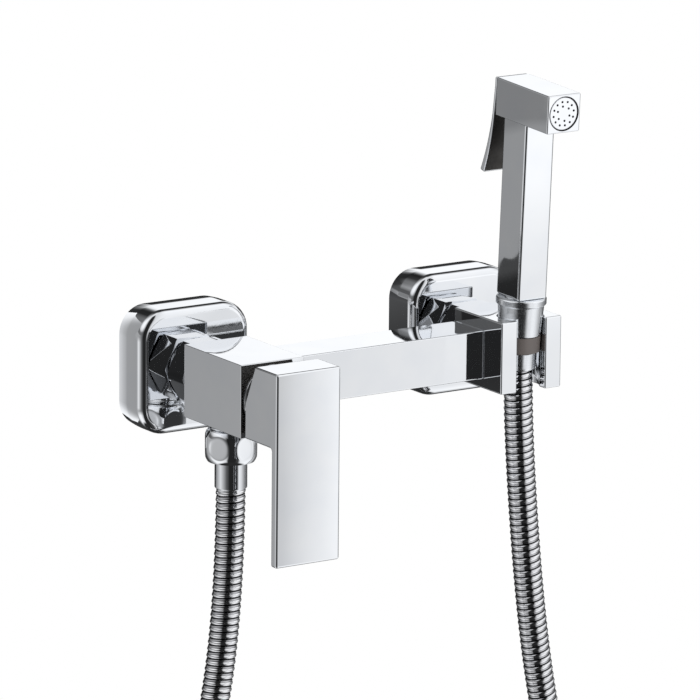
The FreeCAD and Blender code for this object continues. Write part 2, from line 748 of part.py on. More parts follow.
def make_valve_rod():
    """Rod from the trigger to the backing plate of the valve disc."""
    backing = -seat_front - running - disc_thickness
    trigger_face = head_back + trigger_gap + wedge_at(valve_level) - rod_play
    shaft = across(rod_radius, trigger_face, backing, valve_level)
    plate = across(disc_radius, backing, backing - disc_backing, valve_level)
    pilot = across(spring_radius - spring_wire, backing, backing - 2.5, valve_level)
    return on_spray_axis(shaft.fuse([plate, pilot]).removeSplitter())


def make_valve_disc():
    start = Vec(0, -seat_front - running, valve_level)
    return on_spray_axis(ring(disc_radius, rod_radius, start, FRONT, disc_thickness))


def make_valve_spring():
    """Coil of square wire between the backing plate and the plug."""
    back = -seat_front - running - disc_thickness - disc_backing - spring_end_gap
    front = -front_chamber_end + spring_end_gap
    half, steps = spring_wire / 2, 12
    travel = abs(front - back) - spring_wire
    sections = []
    for step in range(spring_turns * steps + 1):
        share = step / (spring_turns * steps)
        angle = 2 * math.pi * step / steps
        y = back - half - travel * share
        out = Vec(math.cos(angle), 0, math.sin(angle))
        centre = Vec(0, y, valve_level)
        corners = [centre + out * (spring_radius + a * half) + BACK * (b * half)
                   for a, b in ((-1, -1), (1, -1), (1, 1), (-1, 1), (-1, -1))]
        sections.append(Part.makePolygon(corners))
    pitch = travel / spring_turns
    print("valve spring: least gap between its turns %.2f mm" % (pitch - spring_wire))
    return on_spray_axis(Part.makeLoft(sections, True, True))


# Trigger
def wedge_at(level):
    """Gap between the head and the trigger's inner face above the basic gap."""
    return trigger_wedge * max(0.0, pin_level - level) / (pin_level - trigger_bend)


def make_trigger():
    """Thin plate hinged at the top of the head, hollow and flaring below its bend."""
    inner_top = head_back + trigger_gap
    inner_bend = inner_top + trigger_wedge
    inner_tip = inner_bend + trigger_flare
    middle = (trigger_bend + trigger_tip) / 2
    half_flare = trigger_flare / 2 - trigger_bow
    mean = (trigger_thickness + trigger_tip_thickness) / 2
    lower = trigger_tip + 0.9
    spots = {
        "a": Vec(0, inner_top, trigger_top), "b": Vec(0, inner_top, pin_level),
        "c": Vec(0, inner_bend, trigger_bend), "d": Vec(0, inner_bend + half_flare, middle),
        "e": Vec(0, inner_tip, trigger_tip), "f": Vec(0, inner_tip + trigger_tip_thickness, lower),
        "g": Vec(0, inner_bend + half_flare + mean, middle + 0.6),
        "h": Vec(0, inner_bend + trigger_thickness, trigger_bend + 0.4),
        "i": Vec(0, inner_top + trigger_thickness, pin_level),
        "j": Vec(0, inner_top + trigger_thickness, trigger_top),
    }
    lines = [Part.makeLine(spots[p], spots[q]) for p, q in ("ab", "bc")]
    lines.append(Part.Arc(spots["c"], spots["d"], spots["e"]).toShape())
    lines.append(Part.makeLine(spots["e"], spots["f"]))
    lines.append(Part.Arc(spots["f"], spots["g"], spots["h"]).toShape())
    lines += [Part.makeLine(spots[p], spots[q]) for p, q in ("hi", "ij", "ja")]
    plate = Part.Face(Part.Wire(lines)).extrude(RIGHT * trigger_width)
    plate.translate(Vec(-trigger_width / 2, 0, 0))
    pin_y = head_back - pin_inset
    knuckle = rod(knuckle_radius, Vec(-knuckle_width / 2, pin_y, pin_level), RIGHT, knuckle_width)
    web = box(-knuckle_width / 2, knuckle_width / 2, pin_y, inner_top + 0.5,
              pin_level - knuckle_radius, pin_level + knuckle_radius)
    hole = rod(pin_radius + running, Vec(-knuckle_width, pin_y, pin_level), RIGHT, knuckle_width * 2)
    return on_spray_axis(plate.fuse([knuckle, web]).cut(hole).removeSplitter())


def make_trigger_pin():
    return on_spray_axis(rod(pin_radius, Vec(-pin_length / 2, head_back - pin_inset, pin_level),
                             RIGHT, pin_length))


# Hose
def hose_corners():
    """Straight runs of the hose, from the mixer's ferrule to the spray's."""
    start = Vec(left_x, outlet_y, ferrule_end + ferrule_grip)
    end = spray_place.multVec(Vec(0, 0, -lower_ferrule_end + ferrule_grip))
    lead = spray_place.multVec(Vec(0, 0, -lower_ferrule_end - hose_lead))
    return [start] + [Vec(*point) for point in hose_route] + [lead, end]


def hose_pieces():
    """The runs with tangent arcs between them: (kind, length, data)."""
    corners = hose_corners()
    pieces, here, least = [], corners[0], 1e9
    for before, corner, after in zip(corners, corners[1:], corners[2:]):
        into, out = corner - before, after - corner
        turn = into.getAngle(out)
        cut = 0.45 * min(into.Length, out.Length)
        radius = cut / math.tan(turn / 2)
        least = min(least, radius)
        into.normalize()
        out.normalize()
        bend_start = corner - into * cut
        axis = into.cross(out)
        axis.normalize()
        inward = axis.cross(into)
        pieces.append(("run", (bend_start - here).Length, (here, into)))
        pieces.append(("bend", radius * turn, (bend_start + inward * radius, axis, inward * -radius, into)))
        here = corner + out * cut
    last = corners[-1] - here
    length = last.Length
    last.normalize()
    pieces.append(("run", length, (here, last)))
    print("hose: least bend radius %.1f mm" % least)
    return pieces


def hose_point(pieces, distance):
    """Centre and direction of the hose at a distance along it."""
    for kind, length, data in pieces:
        if distance <= length or data is pieces[-1][2]:
            if kind == "run":
                return data[0] + data[1] * distance, data[1]
            centre, axis, spoke, tangent = data
            spin = FreeCAD.Rotation(axis, math.degrees(distance / spoke.Length))
            return centre + spin.multVec(spoke), spin.multVec(tangent)
        distance -= length


def hose_circle(pieces, distance, radius):
    """Circle around the hose whose first point keeps to the loop's own plane normal."""
    centre, direction = hose_point(pieces, distance)
    side = BACK.cross(direction)
    side.normalize()
    steady = direction.cross(side)
    circle = Part.Circle(centre, direction, radius)
    circle.XAxis = steady
    return Part.Wire(circle.toShape())


def make_hose():
    """Ribbed hose with its bore, hanging in one wide loop."""
    pieces = hose_pieces()
    total = sum(length for _, length, _ in pieces)
    pitch = (total - 2 * hose_neck) / hose_ribs
    stations = [(0.0, hose_root), (hose_neck, hose_root)]
    flank, crest = pitch * rib_flank, pitch * rib_crest
    for rib in range(hose_ribs):
        start = hose_neck + pitch * rib + (pitch - crest - 2 * flank) / 2
        stations += [(start, hose_root), (start + flank, hose_radius),
                     (start + flank + crest, hose_radius), (start + 2 * flank + crest, hose_root)]
    stations += [(total - hose_neck, hose_root), (total, hose_root)]
    outside = Part.makeLoft([hose_circle(pieces, s, r) for s, r in stations], True, True)
    steps = [total * i / bore_sections for i in range(bore_sections + 1)]
    inside = Part.makeLoft([hose_circle(pieces, s, hose_bore) for s in steps], True, True)
    hose = outside.cut(inside)
    print("hose: length along its centre %.1f mm, %d ribs at %.2f mm" % (total, hose_ribs, pitch))
    section = math.pi * (hose_radius ** 2 - hose_bore ** 2)
    print("hose: volume %.0f mm3, full section times length %.0f mm3" % (hose.Volume, section * total))
    return hose


def build_parts():
    parts = {
        "mixer_body": make_mixer_body(),
        "holder_block": make_holder_block(),
        "cartridge_seal": make_cartridge_seal(),
        "cartridge_base": make_cartridge_base(),
        "cartridge_housing": make_cartridge_housing(),
        "fixed_disc": make_fixed_disc(),
        "moving_disc": make_moving_disc(),
        "disc_carrier": make_disc_carrier(),
        "lever_pivot_pin": make_pivot_pin(),
        "cartridge_stem": make_cartridge_stem(),
        "retaining_nut": make_retaining_nut(),
        "cover_ring": make_cover_ring(),
        "lever_handle": make_lever_handle(),
        "lever_grub_screw": make_grub_screw(),
        "outlet_nipple": make_outlet_nipple(),
        "hose_washer": make_hose_washer(),
        "hose_nut": make_hose_nut(),
        "mixer_ferrule": make_mixer_ferrule(),
        "shower_hose": make_hose(),
        "spray_ferrule": make_spray_ferrule(),
        "swivel_ring": make_swivel_ring(),
        "cone_nut": make_cone_nut(),
        "spray_washer": make_spray_washer(),
        "spray_body": make_spray_body(),
        "spray_face": make_spray_face(),
        "face_seal": make_face_seal(),
        "valve_plug": make_valve_plug(),
        "valve_rod": make_valve_rod(),
        "valve_disc": make_valve_disc(),
        "valve_spring": make_valve_spring(),
        "trigger": make_trigger(),
        "trigger_pin": make_trigger_pin(),
    }
    for side, x_middle in (("left", left_x), ("right", right_x)):
        parts["wall_connector_" + side] = make_wall_connector(x_middle)
        parts["rosette_" + side] = make_rosette(x_middle)
        parts["union_nut_" + side] = make_union_nut(x_middle)
        parts["inlet_nipple_" + side] = make_inlet_nipple(x_middle)
        parts["inlet_filter_" + side] = make_inlet_filter(x_middle)
    return parts


os.makedirs("parts", exist_ok=True)
for name, shape in build_parts().items():
    if not shape.isValid() or shape.Volume <= 0 or len(shape.Solids) != 1:
        print("look at", name, shape.isValid(), round(shape.Volume, 1), len(shape.Solids))
    shape.exportStep(os.path.join("parts", name + ".step"))
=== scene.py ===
# %% [markdown]
# # A wall mixer with a hand spray
# The object hangs on a wall: a valve block and a holder block joined by a bar, two cover plates,
# a lever, a hand spray and its metal hose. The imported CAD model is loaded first, as a fixed frame. The
# pieces could be modelled without it, but then nothing would say that they fit and move. Every size
# below is in millimetres, as on a workshop drawing, and becomes metres when a mesh is made.

# %% The frame
import math
import bmesh
import bpy
from mathutils import Matrix, Vector
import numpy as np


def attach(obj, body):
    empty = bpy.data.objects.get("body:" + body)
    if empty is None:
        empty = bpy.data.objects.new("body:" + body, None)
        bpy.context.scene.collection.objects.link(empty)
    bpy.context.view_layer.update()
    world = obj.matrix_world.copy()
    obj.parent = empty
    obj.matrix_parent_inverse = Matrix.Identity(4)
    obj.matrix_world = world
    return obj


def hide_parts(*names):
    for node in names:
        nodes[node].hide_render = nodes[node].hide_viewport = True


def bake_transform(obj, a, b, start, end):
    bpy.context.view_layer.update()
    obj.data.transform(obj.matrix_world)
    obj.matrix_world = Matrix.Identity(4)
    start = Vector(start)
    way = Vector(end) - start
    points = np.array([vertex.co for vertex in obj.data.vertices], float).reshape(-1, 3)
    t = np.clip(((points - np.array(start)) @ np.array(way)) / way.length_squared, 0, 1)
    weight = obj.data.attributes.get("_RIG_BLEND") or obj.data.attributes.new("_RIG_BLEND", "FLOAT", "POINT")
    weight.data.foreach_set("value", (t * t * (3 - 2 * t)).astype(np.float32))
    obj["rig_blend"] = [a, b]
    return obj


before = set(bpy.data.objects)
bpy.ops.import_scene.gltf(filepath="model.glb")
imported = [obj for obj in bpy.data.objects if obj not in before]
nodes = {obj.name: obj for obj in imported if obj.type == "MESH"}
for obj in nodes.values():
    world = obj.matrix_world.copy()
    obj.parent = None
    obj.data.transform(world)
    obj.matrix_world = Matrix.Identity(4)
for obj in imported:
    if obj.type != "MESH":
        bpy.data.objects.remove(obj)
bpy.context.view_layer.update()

mm = 0.001

# %% [markdown]
# ## The camera
# A product photograph is taken with a long lens from a few metres away, so the bar's edges stay
# almost parallel. A camera could be placed by hand or pointed with a constraint. Here it is worked out
# from the point it looks at, its distance, its heading, its tilt down and a small roll, because each
# of these is a number that a photographer could measure.

# %% Camera
def in_scene(name, data):
    """New object in the scene's own collection."""
    thing = bpy.data.objects.new(name, data)
    bpy.context.scene.collection.objects.link(thing)
    return thing


def camera_place(target, distance, heading, tilt, roll):
    """Matrix of a camera that looks at the target; its heading turns from +Y towards +X."""
    a, t, r = (math.radians(value) for value in (heading, tilt, roll))
    ahead = Vector((math.sin(a) * math.cos(t), math.cos(a) * math.cos(t), -math.sin(t)))
    level = Vector((math.cos(a), -math.sin(a), 0))
    upright = level.cross(ahead)
    right = level * math.cos(r) + upright * math.sin(r)
    up = upright * math.cos(r) - level * math.sin(r)
    turn = Matrix((right, up, -ahead)).transposed().to_4x4()
    return Matrix.Translation(target - ahead * distance) @ turn


picture_width_px, focal_length_px = 700, 6396.67
target = Vector((-19.87, -66.47, 11.36)) * mm
camera = in_scene("camera", bpy.data.cameras.new("camera"))
camera.data.sensor_width = 36
camera.data.lens = focal_length_px * camera.data.sensor_width / picture_width_px
camera.data.shift_x, camera.data.shift_y = 0.00146, 0.00065
camera.data.clip_end = 50
camera.matrix_world = camera_place(target, 2963.74 * mm, heading=33.07, tilt=13.207, roll=0.522)
bpy.context.scene.camera = camera
print("camera at", [round(v, 3) for v in camera.matrix_world.translation])

# %% [markdown]
# ## Finishes
# Almost everything here is brass plated with chrome. A plated casting is polished by hand, so it is
# never quite flat: a very weak wave in the surface bends reflections a little, and the gloss changes
# from place to place. Painted image maps could do that, but they need unwrapping. Noise on Object
# coordinates needs none and stays on the metal when a piece moves.

# %% How a finish is made
def noise_on(tree, scale, detail):
    """A noise texture that sits on the piece's own coordinates."""
    place = tree.nodes.new("ShaderNodeTexCoord")
    noise = tree.nodes.new("ShaderNodeTexNoise")
    noise.inputs["Scale"].default_value = scale
    noise.inputs["Detail"].default_value = detail
    tree.links.new(place.outputs["Object"], noise.inputs["Vector"])
    return noise


def finish(name, light, dark, gloss, metallic=1.0, wave=0.0, grain=0.0, blotch=60.0):
    """Colour between two close tones, roughness between two values, a slow wave and a fine grain in mm."""
    material = bpy.data.materials.new(name)
    material.use_nodes = True
    tree = material.node_tree
    shader = tree.nodes["Principled BSDF"]
    shader.inputs["Metallic"].default_value = metallic
    tone = noise_on(tree, blotch, 3.0)
    ramp = tree.nodes.new("ShaderNodeValToRGB")
    for element, position, colour in zip(ramp.color_ramp.elements, (0.35, 0.65), (dark, light)):
        element.position, element.color = position, (*colour, 1)
    tree.links.new(tone.outputs["Fac"], ramp.inputs["Fac"])
    tree.links.new(ramp.outputs["Color"], shader.inputs["Base Color"])
    spread = noise_on(tree, blotch * 2.3, 4.0)
    reach = tree.nodes.new("ShaderNodeMapRange")
    reach.inputs["From Min"].default_value, reach.inputs["From Max"].default_value = 0.3, 0.7
    reach.inputs["To Min"].default_value, reach.inputs["To Max"].default_value = gloss
    tree.links.new(spread.outputs["Fac"], reach.inputs["Value"])
    tree.links.new(reach.outputs["Result"], shader.inputs["Roughness"])
    last = None
    for height, scale, detail in ((wave, 22.0, 0.0), (grain, 900.0, 4.0)):
        if height:
            bump = tree.nodes.new("ShaderNodeBump")
            bump.inputs["Strength"].default_value = 1.0
            bump.inputs["Distance"].default_value = height * mm
            tree.links.new(noise_on(tree, scale, detail).outputs["Fac"], bump.inputs["Height"])
            if last:
                tree.links.new(last.outputs["Normal"], bump.inputs["Normal"])
            last = bump
    if last:
        tree.links.new(last.outputs["Normal"], shader.inputs["Normal"])
    print("finish: %-28s roughness %.3f to %.3f" % (name, *gloss))
    return material


chrome = finish("chrome", (0.90, 0.91, 0.925), (0.87, 0.885, 0.91), (0.015, 0.05), wave=0.12)

# %% [markdown]
# The blocks, plates, lever and spray are bright chrome. The turned sleeves round the hose's end are satin, so
# they blur what they reflect. Faces that look into the narrow gaps behind the lever and inside the trigger
# get a dark, dull finish, which is painted shade. Dirt or scratches from an image would say more than the
# object does, so the same function makes them all, with other numbers.

# %% Other metals
satin_chrome = finish("satin chrome", (0.94, 0.96, 0.985), (0.90, 0.92, 0.95), (0.20, 0.26), grain=0.002)
# Painted shade: a near-black, dull metal for faces that look into narrow gaps.
painted_shade_metal = finish("painted shade in gaps", (0.11, 0.105, 0.10), (0.07, 0.066, 0.062), (0.40, 0.55),
                   grain=0.01)
wound_steel = finish("wound steel", (0.92, 0.92, 0.93), (0.84, 0.84, 0.86), (0.06, 0.13), blotch=220.0)
brass = finish("turned brass", (0.78, 0.60, 0.30), (0.68, 0.50, 0.24), (0.18, 0.34), grain=0.006)
steel = finish("spring steel", (0.62, 0.62, 0.63), (0.50, 0.50, 0.52), (0.20, 0.34), grain=0.004)

# %% [markdown]
# Washers are black rubber, the cartridge's body is white acetal, its two discs are lapped ceramic and
# the swivel is a dark grey plastic ring. None of them is a metal, so light also enters them a little
# and comes back with their own colour. Each could have its own tree of nodes, but they differ in
# numbers only, so the same function serves, with the metallic share at zero.

# %% Rubber, plastics and ceramic
rubber = finish("black rubber", (0.035, 0.035, 0.036), (0.022, 0.022, 0.023), (0.62, 0.80), metallic=0.0,
                grain=0.02)
white_plastic = finish("white acetal", (0.82, 0.82, 0.80), (0.74, 0.74, 0.72), (0.32, 0.46), metallic=0.0,
                       grain=0.008)
ceramic = finish("lapped ceramic", (0.86, 0.84, 0.79), (0.80, 0.78, 0.73), (0.10, 0.18), metallic=0.0,
                 grain=0.002)
dark_band = finish("dark swivel plastic", (0.145, 0.126, 0.118), (0.110, 0.096, 0.090), (0.26, 0.36),
                   metallic=0.0, grain=0.004)
# Painted shade: near black for the jets' bores and for the gap round the spray face.
painted_hole_shade = finish("painted shade of holes", (0.014, 0.014, 0.016), (0.008, 0.008, 0.009), (0.55, 0.70), metallic=0.0)

# %% [markdown]
# Light hardly reaches the bottom of the narrow grooves of a wound hose, so that shade is painted into the
# steel's colour. An image could carry it, but the mesh knows the grooves already: it will carry one number
# per point, its depth below the crest, and the painted shade turns the steel dark where it is large. A ramp
# says how fast.

# %% Painted shade in the grooves
def paint_groove_shade(material, stops):
    """Painted shade: multiplies the colour by a grey that follows the attribute "depth"."""
    tree = material.node_tree
    shader = tree.nodes["Principled BSDF"]
    clean_tone = shader.inputs["Base Color"].links[0].from_socket
    depth = tree.nodes.new("ShaderNodeAttribute")
    depth.attribute_name = "depth"
    shade = tree.nodes.new("ShaderNodeValToRGB")
    (first, bright), (middle, grey), (last, dark) = stops
    elements = shade.color_ramp.elements
    elements[0].position, elements[0].color = first, (*bright, 1)
    elements[1].position, elements[1].color = last, (*dark, 1)
    elements.new(middle).color = (*grey, 1)
    tree.links.new(depth.outputs["Fac"], shade.inputs["Fac"])
    multiply = tree.nodes.new("ShaderNodeMix")
    multiply.data_type, multiply.blend_type = "RGBA", "MULTIPLY"
    multiply.inputs["Factor"].default_value = 1.0
    tree.links.new(clean_tone, multiply.inputs[6])
    tree.links.new(shade.outputs["Color"], multiply.inputs[7])
    tree.links.new(multiply.outputs[2], shader.inputs["Base Color"])
    print(material.name, "darkens between depth", first, "and", last)


# Painted shade in the hose's grooves: full colour on the crest, nearly black deep in the groove.
paint_groove_shade(wound_steel, [(0.22, (1, 1, 1)), (0.38, (0.50, 0.50, 0.51)), (0.58, (0.02, 0.02, 0.02))])

# %% [markdown]
# ## The hose
# A shower hose is a strip of steel wound into a tube about 14 mm thick. It leaves the mixer straight down,
# hangs in one wide loop under its own weight and comes up again into the hand spray. A chain simulation could
# find the loop. A smooth NURBS curve with listed control points is steadier, and it keeps close to the CAD's
# route. The ribs follow that line, so it is made first and measured.

# %% Middle line of the hose
hose_corners = [
    (-75, -52, -43.25), (-75.2, -52, -93), (-84, -52.8, -160), (-108, -54, -240), (-133, -56, -325),
    (-133, -58, -415), (-84, -59.5, -485), (0, -60.5, -509), (84, -61.5, -485), (133, -62.5, -415),
    (134, -63.5, -325), (110, -64.5, -235), (88.6, -64.8, -157), (75, -65.93, -30), (75, -67.5, 0),
]


def smooth_line(name, corners, resolution):
    """Curve object with one open NURBS spline that the control points guide."""
    curve = bpy.data.curves.new(name, "CURVE")
    curve.dimensions, curve.resolution_u = "3D", resolution
    spline = curve.splines.new("NURBS")
    spline.points.add(len(corners) - 1)
    for point, corner in zip(spline.points, corners):
        point.co = (*(Vector(corner) * mm), 1)
    spline.order_u = 3
    spline.use_endpoint_u = True
    return in_scene(name, curve)


def evaluated_mesh(thing):
    """Plain mesh of what an object shows with its modifiers."""
    bpy.context.view_layer.update()
    return bpy.data.meshes.new_from_object(thing.evaluated_get(bpy.context.evaluated_depsgraph_get()))


hose_line = smooth_line("hose_line", hose_corners, 24)
hose_path = [tuple(v.co) for v in evaluated_mesh(hose_line).vertices]

# %% [markdown]
# ## A tree for what repeats
# Ribs on a hose and jets on a spray face repeat by a rule, which is what Geometry Nodes are for. An
# Array modifier could copy one rib or one jet, but a tree is a small machine with named inputs, so the
# sizes stay in sight. Its parts are many and small, so helpers write them: sums, vectors and values
# that are stored on the points.

# %% Nodes that calculate
def add(tree, kind, **values):
    """A node with some of its input values set by name."""
    node = tree.nodes.new(kind)
    for key, value in values.items():
        node.inputs[key].default_value = value
    return node


def math_node(tree, operation, a, b=None):
    """A Math node; a and b are sockets or numbers."""
    node = tree.nodes.new("ShaderNodeMath")
    node.operation = operation
    for slot_index, value in enumerate((a, b)):
        if value is None:
            continue
        if isinstance(value, (int, float)):
            node.inputs[slot_index].default_value = value
        else:
            tree.links.new(value, node.inputs[slot_index])
    return node.outputs[0]


def vector_node(tree, operation, a, b):
    """A Vector Math node; a and b are sockets, and b is the factor where the operation is SCALE."""
    node = tree.nodes.new("ShaderNodeVectorMath")
    node.operation = operation
    tree.links.new(a, node.inputs[0])
    tree.links.new(b, node.inputs["Scale"] if operation == "SCALE" else node.inputs[1])
    return node.outputs["Value"] if operation == "DOT_PRODUCT" else node.outputs["Vector"]


def stored(tree, geometry, label, kind, value):
    """Keeps a value on every point under a label."""
    store = add(tree, "GeometryNodeStoreNamedAttribute")
    store.data_type, store.domain = kind, "POINT"
    store.inputs["Name"].default_value = label
    tree.links.new(geometry, store.inputs["Geometry"])
    tree.links.new(value, store.inputs["Value"])
    return store.outputs["Geometry"]


print("ready: math_node, vector_node, stored")

# %% [markdown]
# Every tree here begins with named inputs and ends by making instances real and giving them a finish.
# That could be written out in each tree, but then two trees could differ by mistake. The result is
# taken as a plain mesh and the modifier is removed, so that nothing is left to calculate later.

# %% Start and end of a tree
def new_tree(name, geometry_in, sizes, geometry_out):
    """Tree with one geometry in, named sizes, a finish, and one geometry out."""
    tree = bpy.data.node_groups.new(name, "GeometryNodeTree")
    face = tree.interface
    face.new_socket(geometry_in, in_out="INPUT", socket_type="NodeSocketGeometry")
    for label, kind, value in sizes:
        face.new_socket(label, in_out="INPUT", socket_type="NodeSocket" + kind).default_value = value
    face.new_socket("Finish", in_out="INPUT", socket_type="NodeSocketMaterial")
    face.new_socket(geometry_out, in_out="OUTPUT", socket_type="NodeSocketGeometry")
    return tree, tree.nodes.new("NodeGroupInput").outputs, tree.nodes.new("NodeGroupOutput").inputs[0]


def end_tree(tree, geometry, material, result):
    """Last steps of a tree: Realize Instances and Set Material."""
    real = tree.nodes.new("GeometryNodeRealizeInstances")
    tree.links.new(geometry, real.inputs["Geometry"])
    paint = tree.nodes.new("GeometryNodeSetMaterial")
    tree.links.new(real.outputs["Geometry"], paint.inputs["Geometry"])
    tree.links.new(material, paint.inputs["Material"])
    tree.links.new(paint.outputs["Geometry"], result)
    print("tree: %s, %d nodes" % (tree.name, len(tree.nodes)))
    return tree


def made_by_nodes(name, thing, tree, settings):
    """Runs a Geometry Nodes tree on an object and returns its result as a plain mesh object."""
    modifier = thing.modifiers.new(tree.name, "NODES")
    modifier.node_group = tree
    sockets = {item.name: item.identifier for item in tree.interface.items_tree
               if item.item_type == "SOCKET" and item.in_out == "INPUT"}
    for label, value in settings.items():
        modifier[sockets[label]] = value
    mesh = evaluated_mesh(thing)
    thing.modifiers.clear()
    bpy.data.objects.remove(thing)
    mesh.name = name
    print("%s: %d vertices" % (name, len(mesh.vertices)))
    return in_scene(name, mesh)


print("ready: new_tree, end_tree, made_by_nodes")

# %% [markdown]
# The ribs could be modelled one by one, or drawn as a bump. Here a circle is swept along the line, and
# its radius swells and shrinks once in every pitch. A sine wave could give the swelling, but a real
# strip lies in two steps, a low one and a wide crest, so a curve of ten heights gives it.

# %% Profile of the wound strip
rows_per_rib = 9
strip_heights = (0.0, 0.60, 0.74, 0.58, 0.82, 0.97, 1.0, 0.90, 0.62, 0.0)


def strip_profile(tree, share):
    """Height of the wound strip over one pitch: a low step, then a wide crest, between two grooves."""
    profile = tree.nodes.new("ShaderNodeFloatCurve")
    line = profile.mapping.curves[0]
    line.points[0].location, line.points[1].location = (0, 0), (1, 0)
    for row, height in enumerate(strip_heights[1:-1], 1):
        line.points.new(row / rows_per_rib, height)
    for point in line.points:
        point.handle_type = "VECTOR"
    profile.mapping.update()
    tree.links.new(share, profile.inputs["Value"])
    return profile.outputs["Value"]


print("strip: %d rows in a rib" % rows_per_rib)

# %% [markdown]
# Each rib leans a little, as the turns of a wound strip do. A swept circle stands square to its line, and
# turning it would only spin it in its own plane. So every row remembers its middle and its directions,
# and after the sweep each point slides along the hose by its distance to one side. The line is divided
# first, with the same number of rows in every rib.

# %% Rows and lean of the ribs
def divided_line(tree, line, rib_pitch):
    """The line with the same whole number of points in every pitch."""
    length = tree.nodes.new("GeometryNodeCurveLength")
    tree.links.new(line, length.inputs["Curve"])
    ribs = math_node(tree, "ROUND", math_node(tree, "DIVIDE", length.outputs["Length"], rib_pitch))
    count = math_node(tree, "ADD", math_node(tree, "MULTIPLY", ribs, rows_per_rib), 1)
    divided = tree.nodes.new("GeometryNodeResampleCurve")
    divided.mode = "COUNT"
    tree.links.new(line, divided.inputs["Curve"])
    tree.links.new(count, divided.inputs["Count"])
    return divided.outputs["Curve"]


def leaning(tree, mesh, lean):
    """Pushes each point along the hose by its distance from the middle, to the side that leans."""
    read = {}
    for label in ("middle", "along", "aside"):
        attribute = tree.nodes.new("GeometryNodeInputNamedAttribute")
        attribute.data_type = "FLOAT_VECTOR"
        attribute.inputs["Name"].default_value = label
        read[label] = attribute.outputs["Attribute"]
    here = tree.nodes.new("GeometryNodeInputPosition").outputs[0]
    spoke = vector_node(tree, "SUBTRACT", here, read["middle"])
    side = vector_node(tree, "DOT_PRODUCT", spoke, read["aside"])
    push = vector_node(tree, "SCALE", read["along"], math_node(tree, "MULTIPLY", side, lean))
    moved = tree.nodes.new("GeometryNodeSetPosition")
    tree.links.new(mesh, moved.inputs["Geometry"])
    tree.links.new(push, moved.inputs["Offset"])
    return moved.outputs["Geometry"]


print("ready: divided_line, leaning")

# %% [markdown]
# The tree of the ribs puts this together. Its inputs are the sizes that one would measure with a caliper:
# pitch, radius on the crest and in the groove, and the lean. A mesh written point by point would look
# the same, but its sizes could no longer be changed. The tree also stores each row's depth below the
# crest, which the wound steel reads.

# %% Geometry Nodes tree of the ribs
def hose_rib_tree():
    """Tree that turns the hose's line into a ribbed tube with the depth of its grooves stored."""
    sizes = [("Rib pitch", "Float", 3.25 * mm), ("Crest radius", "Float", 7.0 * mm),
             ("Groove radius", "Float", 6.05 * mm), ("Lean", "Float", 0.1),
             ("Lean seen from", "Vector", (-0.545, -0.839, 0.0)), ("Sides", "Int", 24)]
    tree, out, result = new_tree("ribs of a wound hose", "Line", sizes, "Hose")
    link = tree.links.new
    line = divided_line(tree, out["Line"], out["Rib pitch"])
    place = tree.nodes.new("GeometryNodeInputPosition").outputs[0]
    tangent = tree.nodes.new("GeometryNodeInputTangent").outputs[0]
    across = vector_node(tree, "CROSS_PRODUCT", tangent, out["Lean seen from"])
    for label, value in (("middle", place), ("along", tangent), ("aside", across)):
        line = stored(tree, line, label, "FLOAT_VECTOR", value)
    row = math_node(tree, "MODULO", tree.nodes.new("GeometryNodeInputIndex").outputs[0], rows_per_rib)
    swell = strip_profile(tree, math_node(tree, "DIVIDE", row, rows_per_rib))
    line = stored(tree, line, "depth", "FLOAT", math_node(tree, "SUBTRACT", 1.0, swell))
    relief = math_node(tree, "SUBTRACT", out["Crest radius"], out["Groove radius"])
    radius = math_node(tree, "ADD", out["Groove radius"], math_node(tree, "MULTIPLY", swell, relief))
    section = add(tree, "GeometryNodeCurvePrimitiveCircle", Radius=1.0)
    link(out["Sides"], section.inputs["Resolution"])
    tube = tree.nodes.new("GeometryNodeCurveToMesh")
    link(line, tube.inputs["Curve"])
    link(section.outputs["Curve"], tube.inputs["Profile Curve"])
    link(radius, tube.inputs["Scale"])
    tube.inputs["Fill Caps"].default_value = True
    smooth = tree.nodes.new("GeometryNodeSetShadeSmooth")
    link(leaning(tree, tube.outputs["Mesh"], out["Lean"]), smooth.inputs["Geometry"])
    return end_tree(tree, smooth.outputs["Geometry"], out["Finish"], result)


rib_tree = hose_rib_tree()

# %% [markdown]
# The hose is one piece that belongs to two bodies: its start is fixed to the mixer and its end goes with
# the hand spray. It could be cut in two, but a real hose bends. So its mesh blends from one body to the
# other along the bottom of the loop, and the helper values that the tree stored are removed.

# %% The wound hose
hose = made_by_nodes("wound_hose", hose_line, rib_tree, {"Rib pitch": 3.25 * mm, "Sides": 24,
                                                         "Finish": wound_steel})
for label in ("middle", "along", "aside"):
    hose.data.attributes.remove(hose.data.attributes[label])
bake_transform(hose, "fixed_parts", "hose_end", start=(-0.070, -0.060, -0.30), end=(0.070, -0.060, -0.30))
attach(hose, "fixed_parts")
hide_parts("shower_hose")
print("hose keeps:", [a.name for a in hose.data.attributes if not a.name.startswith(".")])

# %% [markdown]
# ## Tools for the metal pieces
# Turned and cast pieces share one idea: a row of closed rings of points with a skin between them.
# A lathe part has circles as rings, a cover plate has rounded squares, a nut has hexagons. Blender's
# Screw and Solidify modifiers could make some of them, but one skin makes them all.

# %% Skin over rings
def outward(mesh, sharp=40.0):
    """Faces point outwards; edges sharper than the angle stay sharp."""
    work = bmesh.new()
    work.from_mesh(mesh)
    bmesh.ops.remove_doubles(work, verts=work.verts, dist=1e-7)
    bmesh.ops.recalc_face_normals(work, faces=work.faces)
    for face in work.faces:
        face.smooth = True
    for edge in work.edges:
        edge.smooth = len(edge.link_faces) == 2 and edge.calc_face_angle(0) < math.radians(sharp)
    work.to_mesh(mesh)
    work.free()


